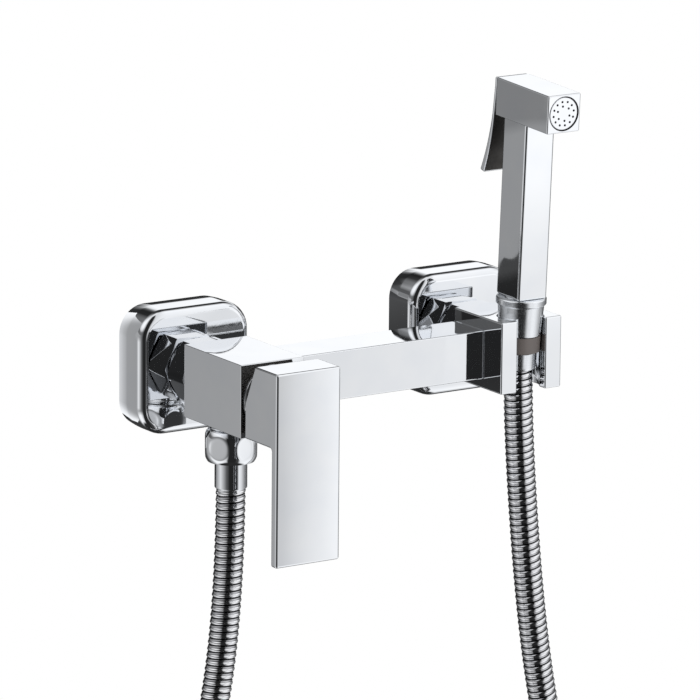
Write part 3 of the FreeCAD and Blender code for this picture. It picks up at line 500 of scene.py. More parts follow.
def skin(name, rings, material, hollow=False):
    """Mesh object over rings of points in mm. Hollow joins the last ring to the first one."""
    count = len(rings[0])
    points = [Vector(p) * mm for ring in rings for p in ring]
    steps = [(i, i + 1) for i in range(len(rings) - 1)] + ([(len(rings) - 1, 0)] if hollow else [])
    faces = [(a * count + i, a * count + (i + 1) % count, b * count + (i + 1) % count, b * count + i)
             for a, b in steps for i in range(count)]
    if not hollow:
        faces += [tuple(range(count)), tuple(range(len(points) - count, len(points)))]
    mesh = bpy.data.meshes.new(name)
    mesh.from_pydata(points, [], faces)
    mesh.materials.append(material)
    outward(mesh)
    return in_scene(name, mesh)


def circle(radius, height, sides=64):
    """Points of a circle round Z."""
    turns = [2 * math.pi * i / sides for i in range(sides)]
    return [(radius * math.cos(angle), radius * math.sin(angle), height) for angle in turns]


def turned(name, profile, material, hollow=False, sides=64):
    """Lathe piece round Z from (radius, height) corners."""
    return skin(name, [circle(r, h, sides) for r, h in profile], material, hollow)


def block(name, low, high, material):
    """Box between two opposite corners."""
    (x0, y0, z0), (x1, y1, z1) = low, high
    rings = [[(x0, y0, z), (x1, y0, z), (x1, y1, z), (x0, y1, z)] for z in (z0, z1)]
    return skin(name, rings, material)


def prism(name, outline, x0, x1, material):
    """Prism across X from (y, z) corners."""
    return skin(name, [[(x, y, z) for y, z in outline] for x in (x0, x1)], material)


print("ready: skin, turned, block, prism")

# %% [markdown]
# No real corner is perfectly sharp: the polishing wheel takes it off, and the narrow soft edge catches
# light. A Bevel does that on the mesh, where a rounded-corner shader would only pretend. A Weighted
# Normal afterwards keeps the big faces flat in the reflections. Holes are cut with Booleans.

# %% Soft corners and cuts
def settled(thing):
    """Turns what the modifiers show into the piece's own mesh."""
    mesh = evaluated_mesh(thing)
    mesh.name = thing.name
    thing.modifiers.clear()
    thing.data = mesh
    return thing


def flat_faced(thing):
    """Big faces decide the shading, so they reflect like flat mirrors."""
    thing.modifiers.new("flat faces", "WEIGHTED_NORMAL").keep_sharp = True
    return settled(thing)


def softened(thing, width, segments=3, angle=28.0):
    """Bevelled corners with flat faces between them."""
    bevel = thing.modifiers.new("soft corners", "BEVEL")
    bevel.width, bevel.segments = width * mm, segments
    bevel.limit_method, bevel.angle_limit = "ANGLE", math.radians(angle)
    settled(thing)
    outward(thing.data)
    return flat_faced(thing)


def cut_away(thing, *tools):
    """Boolean cuts; the tools are removed afterwards, and the faces are flat again."""
    for tool in tools:
        cut = thing.modifiers.new("cut", "BOOLEAN")
        cut.operation, cut.solver, cut.object = "DIFFERENCE", "EXACT", tool
        settled(thing)
        bpy.data.objects.remove(tool)
    outward(thing.data)
    return flat_faced(thing)


print("ready: softened, cut_away")

# %% [markdown]
# Some pieces are several solids in one, such as the casting of block and bar, and every piece has its place.
# Objects could be parented and moved, but an object of this model stays at the origin. So the meshes
# themselves are joined and moved. Then each piece is told which body it moves with and which CAD nodes it
# stands for.

# %% Joining, placing and fitting
def joined(name, *things):
    """One object from several, with the materials of the first."""
    materials = list(things[0].data.materials)
    work = bmesh.new()
    for thing in things:
        work.from_mesh(thing.data)
        bpy.data.objects.remove(thing)
    mesh = bpy.data.meshes.new(name)
    work.to_mesh(mesh)
    work.free()
    for material in materials:
        mesh.materials.append(material)
    return in_scene(name, mesh)


def at(x, y, z):
    """Matrix that moves by millimetres."""
    return Matrix.Translation(Vector((x, y, z)) * mm)


def turned_about(axis, degrees):
    """Matrix that turns about an axis through the origin."""
    return Matrix.Rotation(math.radians(degrees), 4, axis)


def placed(thing, matrix):
    """Moves the mesh itself, so the object stays at the origin."""
    thing.data.transform(matrix)
    return thing


def fitted(thing, body, slot, *replaced):
    """The piece rides on its body and stands for CAD nodes; slot is not used."""
    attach(thing, body)
    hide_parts(*replaced)
    print("%-22s on %-12s %6d faces" % (thing.name, body, len(thing.data.polygons)))
    return thing


to_front, to_wall = turned_about("X", 90), turned_about("X", -90)
print("ready: joined, placed, fitted")

# %% [markdown]
# ## Cover plates
# A cover plate hides the hole in the tiles. It is a drawn shell of thin brass: a square with wide round
# corners, and a soft edge all round its front. A bevelled cube with Solidify would give one radius for
# both. The rings here run from the hole to the front edge, back along the side, and return on the
# inside, so each radius is set by itself and the shell has a real thickness.

# %% Cover plates
half_spacing = 75.0
inlets = (("left", -half_spacing), ("right", half_spacing))
plate_size, plate_corner, plate_depth = 59.4, 14.0, 20.8
plate_wall, plate_hole = 1.5, 13.5
side_rows = (-8.5, -7.6, -6.4, -4.2, -2.1, 0)


def rounded_square(size, corner, y, per_corner=14):
    """Closed outline in the plane y, the same number of points for every size."""
    flat = size / 2 - corner
    points = []
    for quarter in range(4):
        for step in range(per_corner + 1):
            angle = math.pi / 2 * (quarter + step / per_corner)
            cx = flat if quarter in (0, 3) else -flat
            cz = flat if quarter in (0, 1) else -flat
            points.append((cx + corner * math.cos(angle), y, cz + corner * math.sin(angle)))
    return points


def round_hole(radius, y, like):
    """Circle in the plane y whose points face those of another ring."""
    return [(radius * x / math.hypot(x, z), y, radius * z / math.hypot(x, z)) for x, _, z in like]


def plate_rings(inset, front_round, depth, tuck=0.0, steps=7):
    """Rings of one face of the shell, from the front's flat to the wall, where it tucks in a little."""
    rings = []
    for step in range(steps + 1):
        angle = math.pi / 2 * step / steps
        pull = front_round * (1 - math.sin(angle))
        y = -(depth - front_round * (1 - math.cos(angle)))
        rings.append(rounded_square(plate_size - 2 * (inset + pull), plate_corner - inset - pull, y))
    for y in side_rows:
        pull = inset + tuck * ((y - side_rows[0]) / -side_rows[0]) ** 1.5
        rings.append(rounded_square(plate_size - 2 * pull, plate_corner - pull, y))
    return rings


for side, x in inlets:
    outer = plate_rings(0, 4.0, plate_depth, tuck=0.65)
    inner = plate_rings(plate_wall, 2.5, plate_depth - plate_wall)
    rings = [round_hole(plate_hole, -plate_depth, outer[0])] + outer + inner[::-1]
    rings.append(round_hole(plate_hole, -(plate_depth - plate_wall), inner[0]))
    plate = flat_faced(skin("cover_plate_" + side, rings, chrome, hollow=True))
    fitted(placed(plate, at(x, 0, 0)), "fixed_parts", "chrome", "rosette_" + side)

# %% [markdown]
# ## Threads and nuts behind the blocks
# The connectors screw into the wall, and a hexagon nut pulls each block against its connector. A thread
# is a groove that climbs one pitch per turn. A Screw modifier can wind a profile, but its ends stay
# open. On a lathe skin a closed thread is one line of arithmetic: the radius depends on the height
# minus the share of the turn.

# %% Threaded connectors
thread_pitch = 1.814
wall_thread_radius, nut_thread_radius = 10.48, 13.22
connector_bore, connector_collar, connector_start, connector_end = 6.5, 12.0, -15, 30


def threaded_rings(radius, start, length, depth, sides=40, per_pitch=8):
    """Rings of a pipe thread round Z, faded out at both ends."""
    rings = []
    steps = round(length / thread_pitch * per_pitch)
    for step in range(steps + 1):
        h = length * step / steps
        fade = min(1.0, h / thread_pitch, (length - h) / thread_pitch)
        ring = []
        for i in range(sides):
            phase = (h / thread_pitch - i / sides) % 1.0
            reach = radius - depth * fade * abs(2 * phase - 1)
            angle = 2 * math.pi * i / sides
            ring.append((reach * math.cos(angle), reach * math.sin(angle), start + h))
        rings.append(ring)
    return rings


for side, x in inlets:
    rings = [circle(connector_bore, connector_start, 40), circle(9.5, connector_start, 40)]
    rings += threaded_rings(wall_thread_radius, -14.9, 14.7, 1.0)
    rings += [circle(connector_collar, -0.1, 40), circle(connector_collar, 5.9, 40)]
    rings += threaded_rings(nut_thread_radius, 6.0, 23.8, 0.9)
    rings += [circle(12.3, connector_end, 40), circle(connector_bore, connector_end, 40)]
    connector = skin("wall_connector_piece_" + side, rings, chrome, hollow=True)
    fitted(placed(connector, at(x, 0, 0) @ to_front), "fixed_parts", "chrome", "wall_connector_" + side)

# %% [markdown]
# A union nut is cut from a hexagon bar, and its two ends are turned to a cone. So each rim dips towards
# the corners, which gives a nut its scalloped edge. A Boolean with a cone would do it. Here every point
# of the hexagon's ring just sinks by its distance past the cone's start.

# %% Hexagon union nuts
nut_length, nut_flats, nut_corner = 14.9, 30, 17.1
nut_cone_start, nut_bore, nut_neck, nut_back = 14.6, 13.35, 9.8, 2
nut_cone_slope = math.tan(math.radians(30))
nut_place_y = -36.9


def hexagon_reach(flats, angle):
    """Distance from the middle of a hexagon to its side, in the direction of the angle."""
    off = (angle + math.pi / 6) % (math.pi / 3) - math.pi / 6
    return flats / 2 / math.cos(math.pi / 6 - abs(off))


def nut_rim(height, inwards, sides=72):
    """Rim of the nut: a hexagon with trimmed corners that dips inwards where it passes the cone."""
    ring = []
    for i in range(sides):
        angle = 2 * math.pi * i / sides
        radius = min(hexagon_reach(nut_flats, angle), nut_corner)
        dip = max(0.0, radius - nut_cone_start) * nut_cone_slope
        ring.append((radius * math.cos(angle), radius * math.sin(angle), height + inwards * dip))
    return ring


for side, x in inlets:
    rings = [circle(nut_neck, 0, 72), circle(nut_cone_start, 0, 72), nut_rim(0, 1), nut_rim(nut_length, -1)]
    rings += [circle(radius, height, 72) for radius, height in (
        (nut_cone_start, nut_length), (nut_bore, nut_length), (nut_bore, nut_back), (nut_neck, nut_back))]
    nut = flat_faced(skin("union_nut_piece_" + side, rings, chrome, hollow=True))
    fitted(placed(nut, at(x, nut_place_y, 0) @ to_wall), "fixed_parts", "chrome", "union_nut_" + side)

# %% [markdown]
# ## Valve block and bar
# The block and the bar are one casting, polished flat with thin broken edges. The block's front has the
# round room of the cartridge. A Boolean could cut it, but it leaves long thin faces round the hole.
# Here square rings turn into circles at the front, which makes that room without a cut.

# %% Mixer casting
block_half, block_half_height, block_back, block_front = 17, 17.25, -38, -87.5
bar_left, bar_right, bar_front, bar_back, bar_foot, bar_top = -60, 58, -63, -38.4, -12.55, 10.75
block_edge = 0.7


def square_ring(half_x, half_z, y, sides=64):
    """Rectangle with points at even angles, corners among them."""
    ring = []
    for i in range(sides):
        angle = 2 * math.pi * i / sides
        c, s = math.cos(angle), math.sin(angle)
        reach = 1 / max(abs(c), abs(s))
        ring.append((half_x * c * reach, y, half_z * s * reach))
    return ring


def flat_circle(radius, y):
    """Circle in the plane y."""
    return [(x, y, z) for x, z, _ in circle(radius, 0)]


cartridge_room = [(13.6, block_front), (13.6, -83.5), (12.8, -83.5), (12.8, -59.5)]
rings = [square_ring(block_half, block_half_height, y) for y in (block_back, block_front)]
rings += [flat_circle(radius, y) for radius, y in cartridge_room]
valve_block = placed(softened(skin("valve_block", rings, chrome), block_edge), at(-half_spacing, 0, 0))
bar = block("bar", (bar_left, bar_front, bar_foot), (bar_right, bar_back, bar_top), chrome)
casting = joined("mixer_casting", valve_block, softened(bar, block_edge))
fitted(casting, "fixed_parts", "chrome", "mixer_body")

# %% [markdown]
# ## Holder block
# The hand spray's cone sits in a tapered bore, and the slot in front lets the hose pass. Seen from
# above the block is a thick C. A block with two Boolean cuts would do, but the lean of the bore is
# easier drawn: three C outlines, each with the bore's own radius and place, make the solid.

# %% Holder
spray_lean = 3
spray_axis_y = -67.5
holder_front, slot_half = -78, 8.0
seat_radius, seat_height, seat_widening = 10.35, 8.7, 0.9 / 14.6


def holder_outline(z, steps=36):
    """C-shaped outline at height z; the bore leans and widens upwards above the seat's foot."""
    centre_y = spray_axis_y - z * math.tan(math.radians(spray_lean))
    radius = seat_radius + max(0.0, z - seat_height) * seat_widening
    open_angle = math.asin(slot_half / radius)
    points = [(slot_half, holder_front, z), (block_half, holder_front, z), (block_half, block_back, z),
              (-block_half, block_back, z), (-block_half, holder_front, z), (-slot_half, holder_front, z)]
    for step in range(steps + 1):
        angle = -math.pi / 2 - open_angle - (2 * math.pi - 2 * open_angle) * step / steps
        points.append((radius * math.cos(angle), centre_y + radius * math.sin(angle), z))
    return points


holder_rings = [holder_outline(z) for z in (-block_half_height, seat_height, block_half_height)]
holder = placed(softened(skin("holder_piece", holder_rings, chrome), block_edge), at(half_spacing, 0, 0))
fitted(holder, "fixed_parts", "chrome", "holder_block")

# %% [markdown]
# ## Cover ring
# A thin turned ring closes the gap round the cartridge, behind the lever. It could be a torus, but a
# torus has a round section. This one has a step that sits in the block and a small chamfer in front.

# %% Cover ring
ring_profile = [(10.0, -0.6), (13.4, -0.6), (13.4, 0), (15.5, 0), (15.5, 0.7), (14.8, 1.4), (10.0, 1.4)]
cover_ring = softened(turned("cover_ring_piece", ring_profile, chrome, hollow=True, sides=96), 0.12, 2)
cover_ring = placed(cover_ring, at(-half_spacing, block_front, 0) @ to_front)
fitted(cover_ring, "fixed_parts", "chrome", "cover_ring")

# %% [markdown]
# ## Lever
# The lever is a square hub with a long plate, one casting. Pieces of a box could be joined, but then the seam
# between hub and plate shows in the chrome. Its side view is drawn once and pushed across; then the round
# recess behind the hub, the stem's square hole and the screw's hole are cut. The faces that look back at the
# valve block get a dark, dull finish: painted shade of the gap between them.

# %% Lever
hub_back, plate_back, plate_front = -91.0, -113.6, -118.4
lever_top, hub_foot, lever_tip = 19.0, -16.3, -71.5
lever_half = 17.15
side_view = [(hub_back, hub_foot), (hub_back, 0.4), (-99.28, lever_top), (plate_front, lever_top),
             (plate_front, lever_tip), (plate_back, lever_tip), (plate_back, -17.6), (-113.22, -16.68),
             (-112.3, hub_foot)]


def paint_shade_on(thing, chosen):
    """Gives the chosen faces a dark, dull finish, which is painted shade."""
    thing.data.materials.append(painted_shade_metal)
    for face in thing.data.polygons:
        if chosen(face):
            face.material_index = 1


lever = prism("lever_piece", side_view, -half_spacing - lever_half, -half_spacing + lever_half, chrome)
recess = placed(turned("recess", [(10.5, -5), (10.5, 3)], chrome), at(-half_spacing, hub_back, 0) @ to_front)
stem_hole = block("stem_hole", (-78.1, -106.1, -3.1), (-71.9, -90, 3.1), chrome)
screw_hole = turned("screw_hole", [(2.5, -20), (2.5, -3)], chrome, sides=24)
placed(screw_hole, at(-half_spacing, -101, 0))
lever = cut_away(softened(lever, 1.1, 4, 50), recess, stem_hole, screw_hole)
# Painted shade on the faces that look back at the valve block.
paint_shade_on(lever, lambda face: face.normal.y > 0.35 and face.center.y > -0.1)
fitted(lever, "lever", "chrome", "lever_handle")

# %% [markdown]
# ## Hose connection under the valve block
# The nut is a barrel with six flats, so each flat meets the round wall in an oval. A Boolean would cut
# those ovals with a hard edge. Taking, at every point, the smaller of barrel and hexagon gives the
# shape, and a soft minimum in place of a plain one gives the worn seam between them.

# %% Hose nut
outlet_y = -52
hose_nut_length, hose_nut_flats, hose_nut_belly = 15.0, 24.0, 12.9
seam_sharpness = 9


def barrel_nut_rings(sides=144, rows=40):
    """Rings of the nut's outside; the rows lie closer near both rims."""
    rings = []
    for row in range(rows + 1):
        h = hose_nut_length * (0.5 - 0.5 * math.cos(math.pi * row / rows))
        barrel = hose_nut_belly - 0.9 * (abs(h - hose_nut_length / 2) / 5.6) ** 2.6
        ring = []
        for i in range(sides):
            angle = 2 * math.pi * i / sides
            walls = [barrel, hexagon_reach(hose_nut_flats, angle)]
            radius = -math.log(sum(math.exp(-seam_sharpness * wall) for wall in walls)) / seam_sharpness
            ring.append((radius * math.cos(angle), radius * math.sin(angle), h))
        rings.append(ring)
    return rings


inside = [circle(radius, height, 144) for radius, height in (
    (10.6, hose_nut_length), (10.6, 2.7), (7.9, 2.7), (7.9, 0))]
hose_nut = skin("hose_nut_piece", barrel_nut_rings() + inside, chrome, hollow=True)
fitted(placed(hose_nut, at(-half_spacing, outlet_y, -36.95)), "fixed_parts", "chrome", "hose_nut")

# %% [markdown]
# Inside the nut a threaded nipple carries the water down. It is a turned part. A Screw modifier could
# swing its half section round the axis, but the skin over circles also takes a thread: the connectors'
# rings again, turned upside down.

# %% Outlet nipple
nipple_thread = [[(x, y, -1.9 - z) for x, y, z in ring]
                 for ring in threaded_rings(wall_thread_radius, 0, 10.3, 0.8, sides=48)]
rings = [circle(radius, height, 48) for radius, height in (
    (4.0, 7.7), (6.8, 7.7), (6.8, 0), (11, 0), (11, -1.8), (9.8, -1.8))]
rings += nipple_thread + [circle(9.6, -12.3, 48), circle(4.0, -12.3, 48)]
nipple = skin("outlet_nipple_piece", rings, chrome, hollow=True)
nipple = placed(nipple, at(-half_spacing, outlet_y, -block_half_height))
fitted(nipple, "fixed_parts", "chrome", "outlet_nipple")

# %% [markdown]
# The ferrule is a thin sleeve, crimped over the hose. From outside one sees a short tube with a small
# step where the ribs begin. A tube with Solidify has one thickness all along. A turned profile can
# change it, and here it also goes up the inside, so no end is open.

# %% Ferrule at the mixer
profile = [(3.6, -31.55), (9.6, -31.55), (9.6, -34.05), (7.6, -34.05), (7.6, -49.6), (6.75, -50.0),
           (6.75, -51.25), (6.4, -51.25), (6.4, -42.9), (3.6, -42.9)]
mixer_ferrule = softened(turned("mixer_ferrule_piece", profile, chrome, hollow=True, sides=72), 0.25, 2)
mixer_ferrule = placed(mixer_ferrule, at(-half_spacing, outlet_y, 0))
fitted(mixer_ferrule, "fixed_parts", "chrome", "mixer_ferrule")

# %% [markdown]
# ## Foot of the hand spray
# From below: the ferrule that grips the hose, a dark ring that lets the spray turn on it, and the
# conical nut that rests in the holder. Each could be modelled upright and its object then tilted, but a
# finished object stays unturned here. So one matrix holds the leaning axis and moves the meshes.

# %% Ferrule, swivel ring and cone
spray_axis = at(half_spacing, spray_axis_y, 0) @ turned_about("X", spray_lean)

profile = [(3.6, -8), (7.8, -8), (8.4, -6.8), (8.4, 0.05), (7.8, 0.65), (6.7, 0.65), (6.7, 11.25),
           (7.9, 11.25), (7.9, 13.4), (3.6, 13.4)]
spray_ferrule = turned("spray_ferrule_piece", profile, satin_chrome, hollow=True, sides=72)
fitted(placed(softened(spray_ferrule, 0.2, 2), spray_axis), "hose_end", "chrome", "spray_ferrule")

profile = [(6.75, 0.7), (10.0, 0.7), (10.0, 8.5), (6.75, 8.5)]
swivel_band = turned("swivel_band", profile, dark_band, hollow=True, sides=72)
fitted(placed(softened(swivel_band, 0.3, 2), spray_axis), "hose_end", "dark_plastic", "swivel_ring")

profile = [(6.95, 8.7), (9.8, 8.7), (10.1, 9.0), (11.0, 23.3), (11.4, 23.3), (12.0, 23.9), (12.0, 26.4),
           (11.4, 27.0), (8.25, 27.0), (8.25, 11.2), (6.95, 11.2)]
cone = turned("cone_nut_piece", profile, satin_chrome, hollow=True, sides=96)
fitted(placed(softened(cone, 0.2, 2), spray_axis), "spray", "chrome", "cone_nut")

# %% [markdown]
# ## Hand spray
# A square tube carries a square head. The head's front has a round opening for the spray face, and its
# back a cavity for the trigger's hinge. A lathe can't make square work, so here blocks with soft edges
# are cut and joined, with the tube's edges rounder than the head's.

# %% Spray body
tube_half_width, tube_half_depth, tube_foot = 8.15, 9.4, 27.0
head_half, head_front, head_back, head_foot, head_top = 9.1, -27.6, 15.0, 112.0, 130.2
face_level = 121.1

tube = block("tube", (-tube_half_width, -tube_half_depth, tube_foot),
             (tube_half_width, tube_half_depth, head_foot + 1), chrome)
head = block("head", (-head_half, head_front, head_foot), (head_half, head_back, head_top), chrome)
opening = placed(turned("opening", [(8.3, -4.1), (8.3, 2)], chrome, sides=72),
                 at(0, head_front, face_level) @ to_front)
cavity = block("cavity", (-6.5, 8.0, 114.2), (6.5, 16, 128.6), chrome)
head = cut_away(softened(head, 0.6, 3), opening, cavity)
spigot = turned("spigot", [(8.2, 16.0), (8.2, 27.5)], chrome)
spray = placed(joined("spray_piece", softened(tube, 1.2, 4), head, spigot), spray_axis)
fitted(spray, "spray", "chrome", "spray_body")

# %% [markdown]
# The spray face is a turned disc with a thin dark gap round it. Without that gap the disc would melt into the
# head, because both are the same chrome. An open gap could do, but its walls would mirror the studio, so a
# soft black ring lines the opening as painted shade of the gap.

# %% Spray face
face_place = spray_axis @ at(0, -27.3, face_level) @ to_front
face_profile = [(7.45, 2.6), (7.62, 2.5), (7.72, 2.3), (7.72, 0.25), (7.5, 0.0)]
face_plate = softened(turned("spray_face_piece", face_profile, chrome, sides=72), 0.08, 2)
fitted(placed(face_plate, face_place @ at(0, 0, -2.6)), "spray", "chrome", "spray_face")

gap_profile = [(7.6, 0.0), (8.28, 0.0), (8.28, 2.35), (7.6, 2.35)]
# Painted shade of the gap round the face.
gap_ring = turned("face_gap_ring", gap_profile, painted_hole_shade, hollow=True, sides=72)
placed(gap_ring, face_place @ at(0, 0, -2.6))
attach(gap_ring, "spray")

# %% [markdown]
# The face has eighteen jets on two circles. They could be eighteen copied cylinders. Geometry Nodes put one
# thin dark disc, the painted shade of a bore, on every point of both circles, and the counts and radii stay
# the tree's inputs, so a face with more jets is a change of one number.

# %% Geometry Nodes tree of the jets
def jet_circle(tree, out, label, jet):
    """Copies of the jet on the points of one circle, turned to their start."""
    points = tree.nodes.new("GeometryNodeMeshCircle")
    tree.links.new(out[label + " count"], points.inputs["Vertices"])
    tree.links.new(out[label + " radius"], points.inputs["Radius"])
    copies = tree.nodes.new("GeometryNodeInstanceOnPoints")
    tree.links.new(points.outputs["Mesh"], copies.inputs["Points"])
    tree.links.new(jet, copies.inputs["Instance"])
    spin = tree.nodes.new("ShaderNodeCombineXYZ")
    tree.links.new(math_node(tree, "RADIANS", out[label + " start"]), spin.inputs["Z"])
    rotation = tree.nodes.new("FunctionNodeEulerToRotation")
    tree.links.new(spin.outputs[0], rotation.inputs[0])
    turn = tree.nodes.new("GeometryNodeTransform")
    tree.links.new(copies.outputs["Instances"], turn.inputs["Geometry"])
    tree.links.new(rotation.outputs[0], turn.inputs["Rotation"])
    return turn.outputs["Geometry"]


def jet_tree():
    """Tree with two circles of jets; counts, radii and starts are its inputs."""
    sizes = [("Outer count", "Int", 12), ("Outer radius", "Float", 5.7 * mm), ("Outer start", "Float", 10.0),
             ("Inner count", "Int", 6), ("Inner radius", "Float", 3.5 * mm), ("Inner start", "Float", 40.0),
             ("Jet radius", "Float", 0.5 * mm)]
    tree, out, result = new_tree("jets on circles", "Start", sizes, "Jets")
    jet = add(tree, "GeometryNodeMeshCylinder", Vertices=12, Depth=0.16 * mm)
    tree.links.new(out["Jet radius"], jet.inputs["Radius"])
    gather = tree.nodes.new("GeometryNodeJoinGeometry")
    for label in ("Outer", "Inner"):
        tree.links.new(jet_circle(tree, out, label, jet.outputs["Mesh"]), gather.inputs["Geometry"])
    return end_tree(tree, gather.outputs["Geometry"], out["Finish"], result)


seed = in_scene("jet_seed", bpy.data.meshes.new("jet_seed"))
# Painted shade: each jet is a thin near-black disc on the face.
jets = made_by_nodes("spray_jets", seed, jet_tree(), {"Jet radius": 0.55 * mm, "Finish": painted_hole_shade})
placed(jets, face_place)
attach(jets, "spray")

# %% [markdown]
# ## Trigger
# A thin plate hinged near the top of the head. It hangs straight behind the head, then swings away from
# the tube in a shallow hollow and grows thicker towards its tip, where the finger pulls. A bent box
# with a Curve modifier keeps one thickness, so its two long sides are written as two bows instead.

# %% Trigger plate
trigger_half, trigger_top, trigger_hollow = 8.8, 130.0, 1.0
inside_knee, inside_tip = (16.5, 112.0), (22.9, 82.4)
outside_knee, outside_tip = (18.3, 112.4), (26.3, 83.3)
hinge_back, hinge_up = 12, 126


def bowed(start, end, steps=12):
    """Points after the start along a shallow bow to the end."""
    points = []
    for step in range(1, steps + 1):
        t = step / steps
        bow = trigger_hollow * 4 * t * (1 - t)
        points.append((start[0] + (end[0] - start[0]) * t - bow, start[1] + (end[1] - start[1]) * t))
    return points


inside = [(15.3, trigger_top), (15.3, hinge_up), inside_knee] + bowed(inside_knee, inside_tip)
outside = [(17.1, trigger_top), (17.1, hinge_up), outside_knee] + bowed(outside_knee, outside_tip)
trigger_plate = prism("trigger_plate", inside + outside[::-1], -trigger_half, trigger_half, chrome)
trigger_plate = softened(trigger_plate, 0.75, 4, 40)
# Painted shade on the trigger's inner face, which looks at the tube.
paint_shade_on(trigger_plate, lambda face: face.normal.y < -0.9 and face.center.z < (hinge_up - 0.2) * mm)
knuckle = placed(turned("knuckle", [(2.4, -3), (2.4, 3)], chrome, sides=32),
                 at(0, hinge_back, hinge_up) @ turned_about("Y", 90))
web = block("web", (-3, hinge_back, 123.6), (3, 15.8, 128.4), chrome)
trigger = placed(joined("trigger_piece", trigger_plate, knuckle, web), spray_axis)
fitted(trigger, "trigger", "chrome", "trigger")

# %% [markdown]
# ## Inner parts
# The cartridge, the stop valve, the filters and washers are seen only where a gap lets the eye in.
# They could be modelled again, but their CAD shapes are right as they are. So each keeps its mesh and
# gets its real finish.

# %% Finishes of the inner parts
inner_parts = [
    (rubber, ["cartridge_seal", "hose_washer", "spray_washer", "face_seal", "valve_disc", "inlet_filter_left",
              "inlet_filter_right"]),
    (white_plastic, ["cartridge_base", "cartridge_housing", "disc_carrier"]),
    (ceramic, ["fixed_disc", "moving_disc"]),
    (steel, ["lever_pivot_pin", "lever_grub_screw", "valve_spring", "trigger_pin"]),
    (brass, ["cartridge_stem", "retaining_nut", "valve_plug", "valve_rod"]),
    (chrome, ["inlet_nipple_left", "inlet_nipple_right"]),
]
for material, names in inner_parts:
    for name in names:
        mesh = nodes[name].data
        if mesh.materials:
            mesh.materials[0] = material
        else:
            mesh.materials.append(material)
    print("%s: %s" % (material.name, ", ".join(names)))

# %% [markdown]
# ## The hose's line
# Whoever uses the object wants to know how far its hose reaches and how tightly it bends. The mesh can't say
# that, but the line it was swept along can. That line is removed once the tree has made the hose, so it
# doesn't go with the piece.

# %% [markdown]
# ## Studio
# Mirror metal shows the room, so the room is half of the picture. White all round would make chrome
# look like paper. Photographers hang grey and dark cards inside a white tent, and their reflections
# draw the edges. The world itself stays plain: white for the camera, for mirrors and for glass, and a
# soft grey light for everything else. The tent and the cards are stage pieces that only mirrors see.

# %% World
world = bpy.data.worlds.new("studio")
bpy.context.scene.world = world
world.use_nodes = True
sky = world.node_tree
for node in list(sky.nodes):
    sky.nodes.remove(node)
white, plain = sky.nodes.new("ShaderNodeBackground"), sky.nodes.new("ShaderNodeBackground")
white.inputs["Color"].default_value = (1, 1, 1, 1)
plain.inputs["Color"].default_value = (0.75, 0.75, 0.75, 1)
ray = sky.nodes.new("ShaderNodeLightPath")
pale = math_node(sky, "MAXIMUM", ray.outputs["Is Camera Ray"], ray.outputs["Is Transmission Ray"])
pale = math_node(sky, "MAXIMUM", pale, ray.outputs["Is Glossy Ray"])
choose = sky.nodes.new("ShaderNodeMixShader")
sky.links.new(pale, choose.inputs["Fac"])
sky.links.new(plain.outputs[0], choose.inputs[1])
sky.links.new(white.outputs[0], choose.inputs[2])
sky.links.new(choose.outputs[0], sky.nodes.new("ShaderNodeOutputWorld").inputs["Surface"])
print("world: white background, grey light")

# %% [markdown]
# A card or a tent wall glows with a grey that follows a ramp. Real cards would need lamps of their own
# and many more samples. The ramp is written with the greys that polished chrome should show, from 0 to
# 255, so the numbers can be read off as in any image viewer, and a formula makes them light.

# %% Glowing stage finishes
chrome_reflects = 0.89
cool_light = (0.985, 0.995, 1.01)


def shown(level):
    """Linear brightness of a wall whose reflection in chrome shows as this grey."""
    value = level / 255
    linear = value / 12.92 if value < 0.04045 else ((value + 0.055) / 1.055) ** 2.4
    return linear / chrome_reflects


def grey_ramp(tree, fac, stops):
    """Colour Ramp with (position, grey) stops; the light is a little cool."""
    ramp = tree.nodes.new("ShaderNodeValToRGB")
    tree.links.new(fac, ramp.inputs["Fac"])
    elements = ramp.color_ramp.elements
    while len(elements) < len(stops):
        elements.new(0.5)
    for element, (position, level) in zip(elements, stops):
        element.position = position
        element.color = (*(shown(level) * tint for tint in cool_light), 1)
    return ramp.outputs["Color"]


def glowing(name):
    """Material that only glows, with its tree and its emission node."""
    material = bpy.data.materials.new(name)
    material.use_nodes = True
    material.cycles.emission_sampling = "NONE"
    tree = material.node_tree
    tree.nodes.remove(tree.nodes["Principled BSDF"])
    glow = tree.nodes.new("ShaderNodeEmission")
    tree.links.new(glow.outputs[0], tree.nodes["Material Output"].inputs["Surface"])
    return material, tree, glow


def seen_by_mirrors_only(thing):
    """Stage piece that neither the camera nor soft light meets."""
    thing.visible_camera = thing.visible_diffuse = thing.visible_shadow = False
    thing.visible_transmission = thing.visible_volume_scatter = False
    print("stage:", thing.name)


print("grey 255 needs brightness %.3f, grey 35 needs %.3f" % (shown(255), shown(35)))

# %% [markdown]
# ## Tent
# The tent wall is written as rings at several heights, in degrees above the horizon. Each ring lists
# headings (0 is straight behind the object, 90 its right, 180 the front, negative its left) and the
# grey that chrome shows there. Seen from the camera, left faces mirror the ring at -13 near heading
# -33, front faces the same ring near 147, and tops the rings above 10 near 33. Straight ahead the wall
# is light, and to the left of that dark. Its floor is dark and its ceiling light. Many separate cards
# could stand there, but on one wall the greys run into each other.

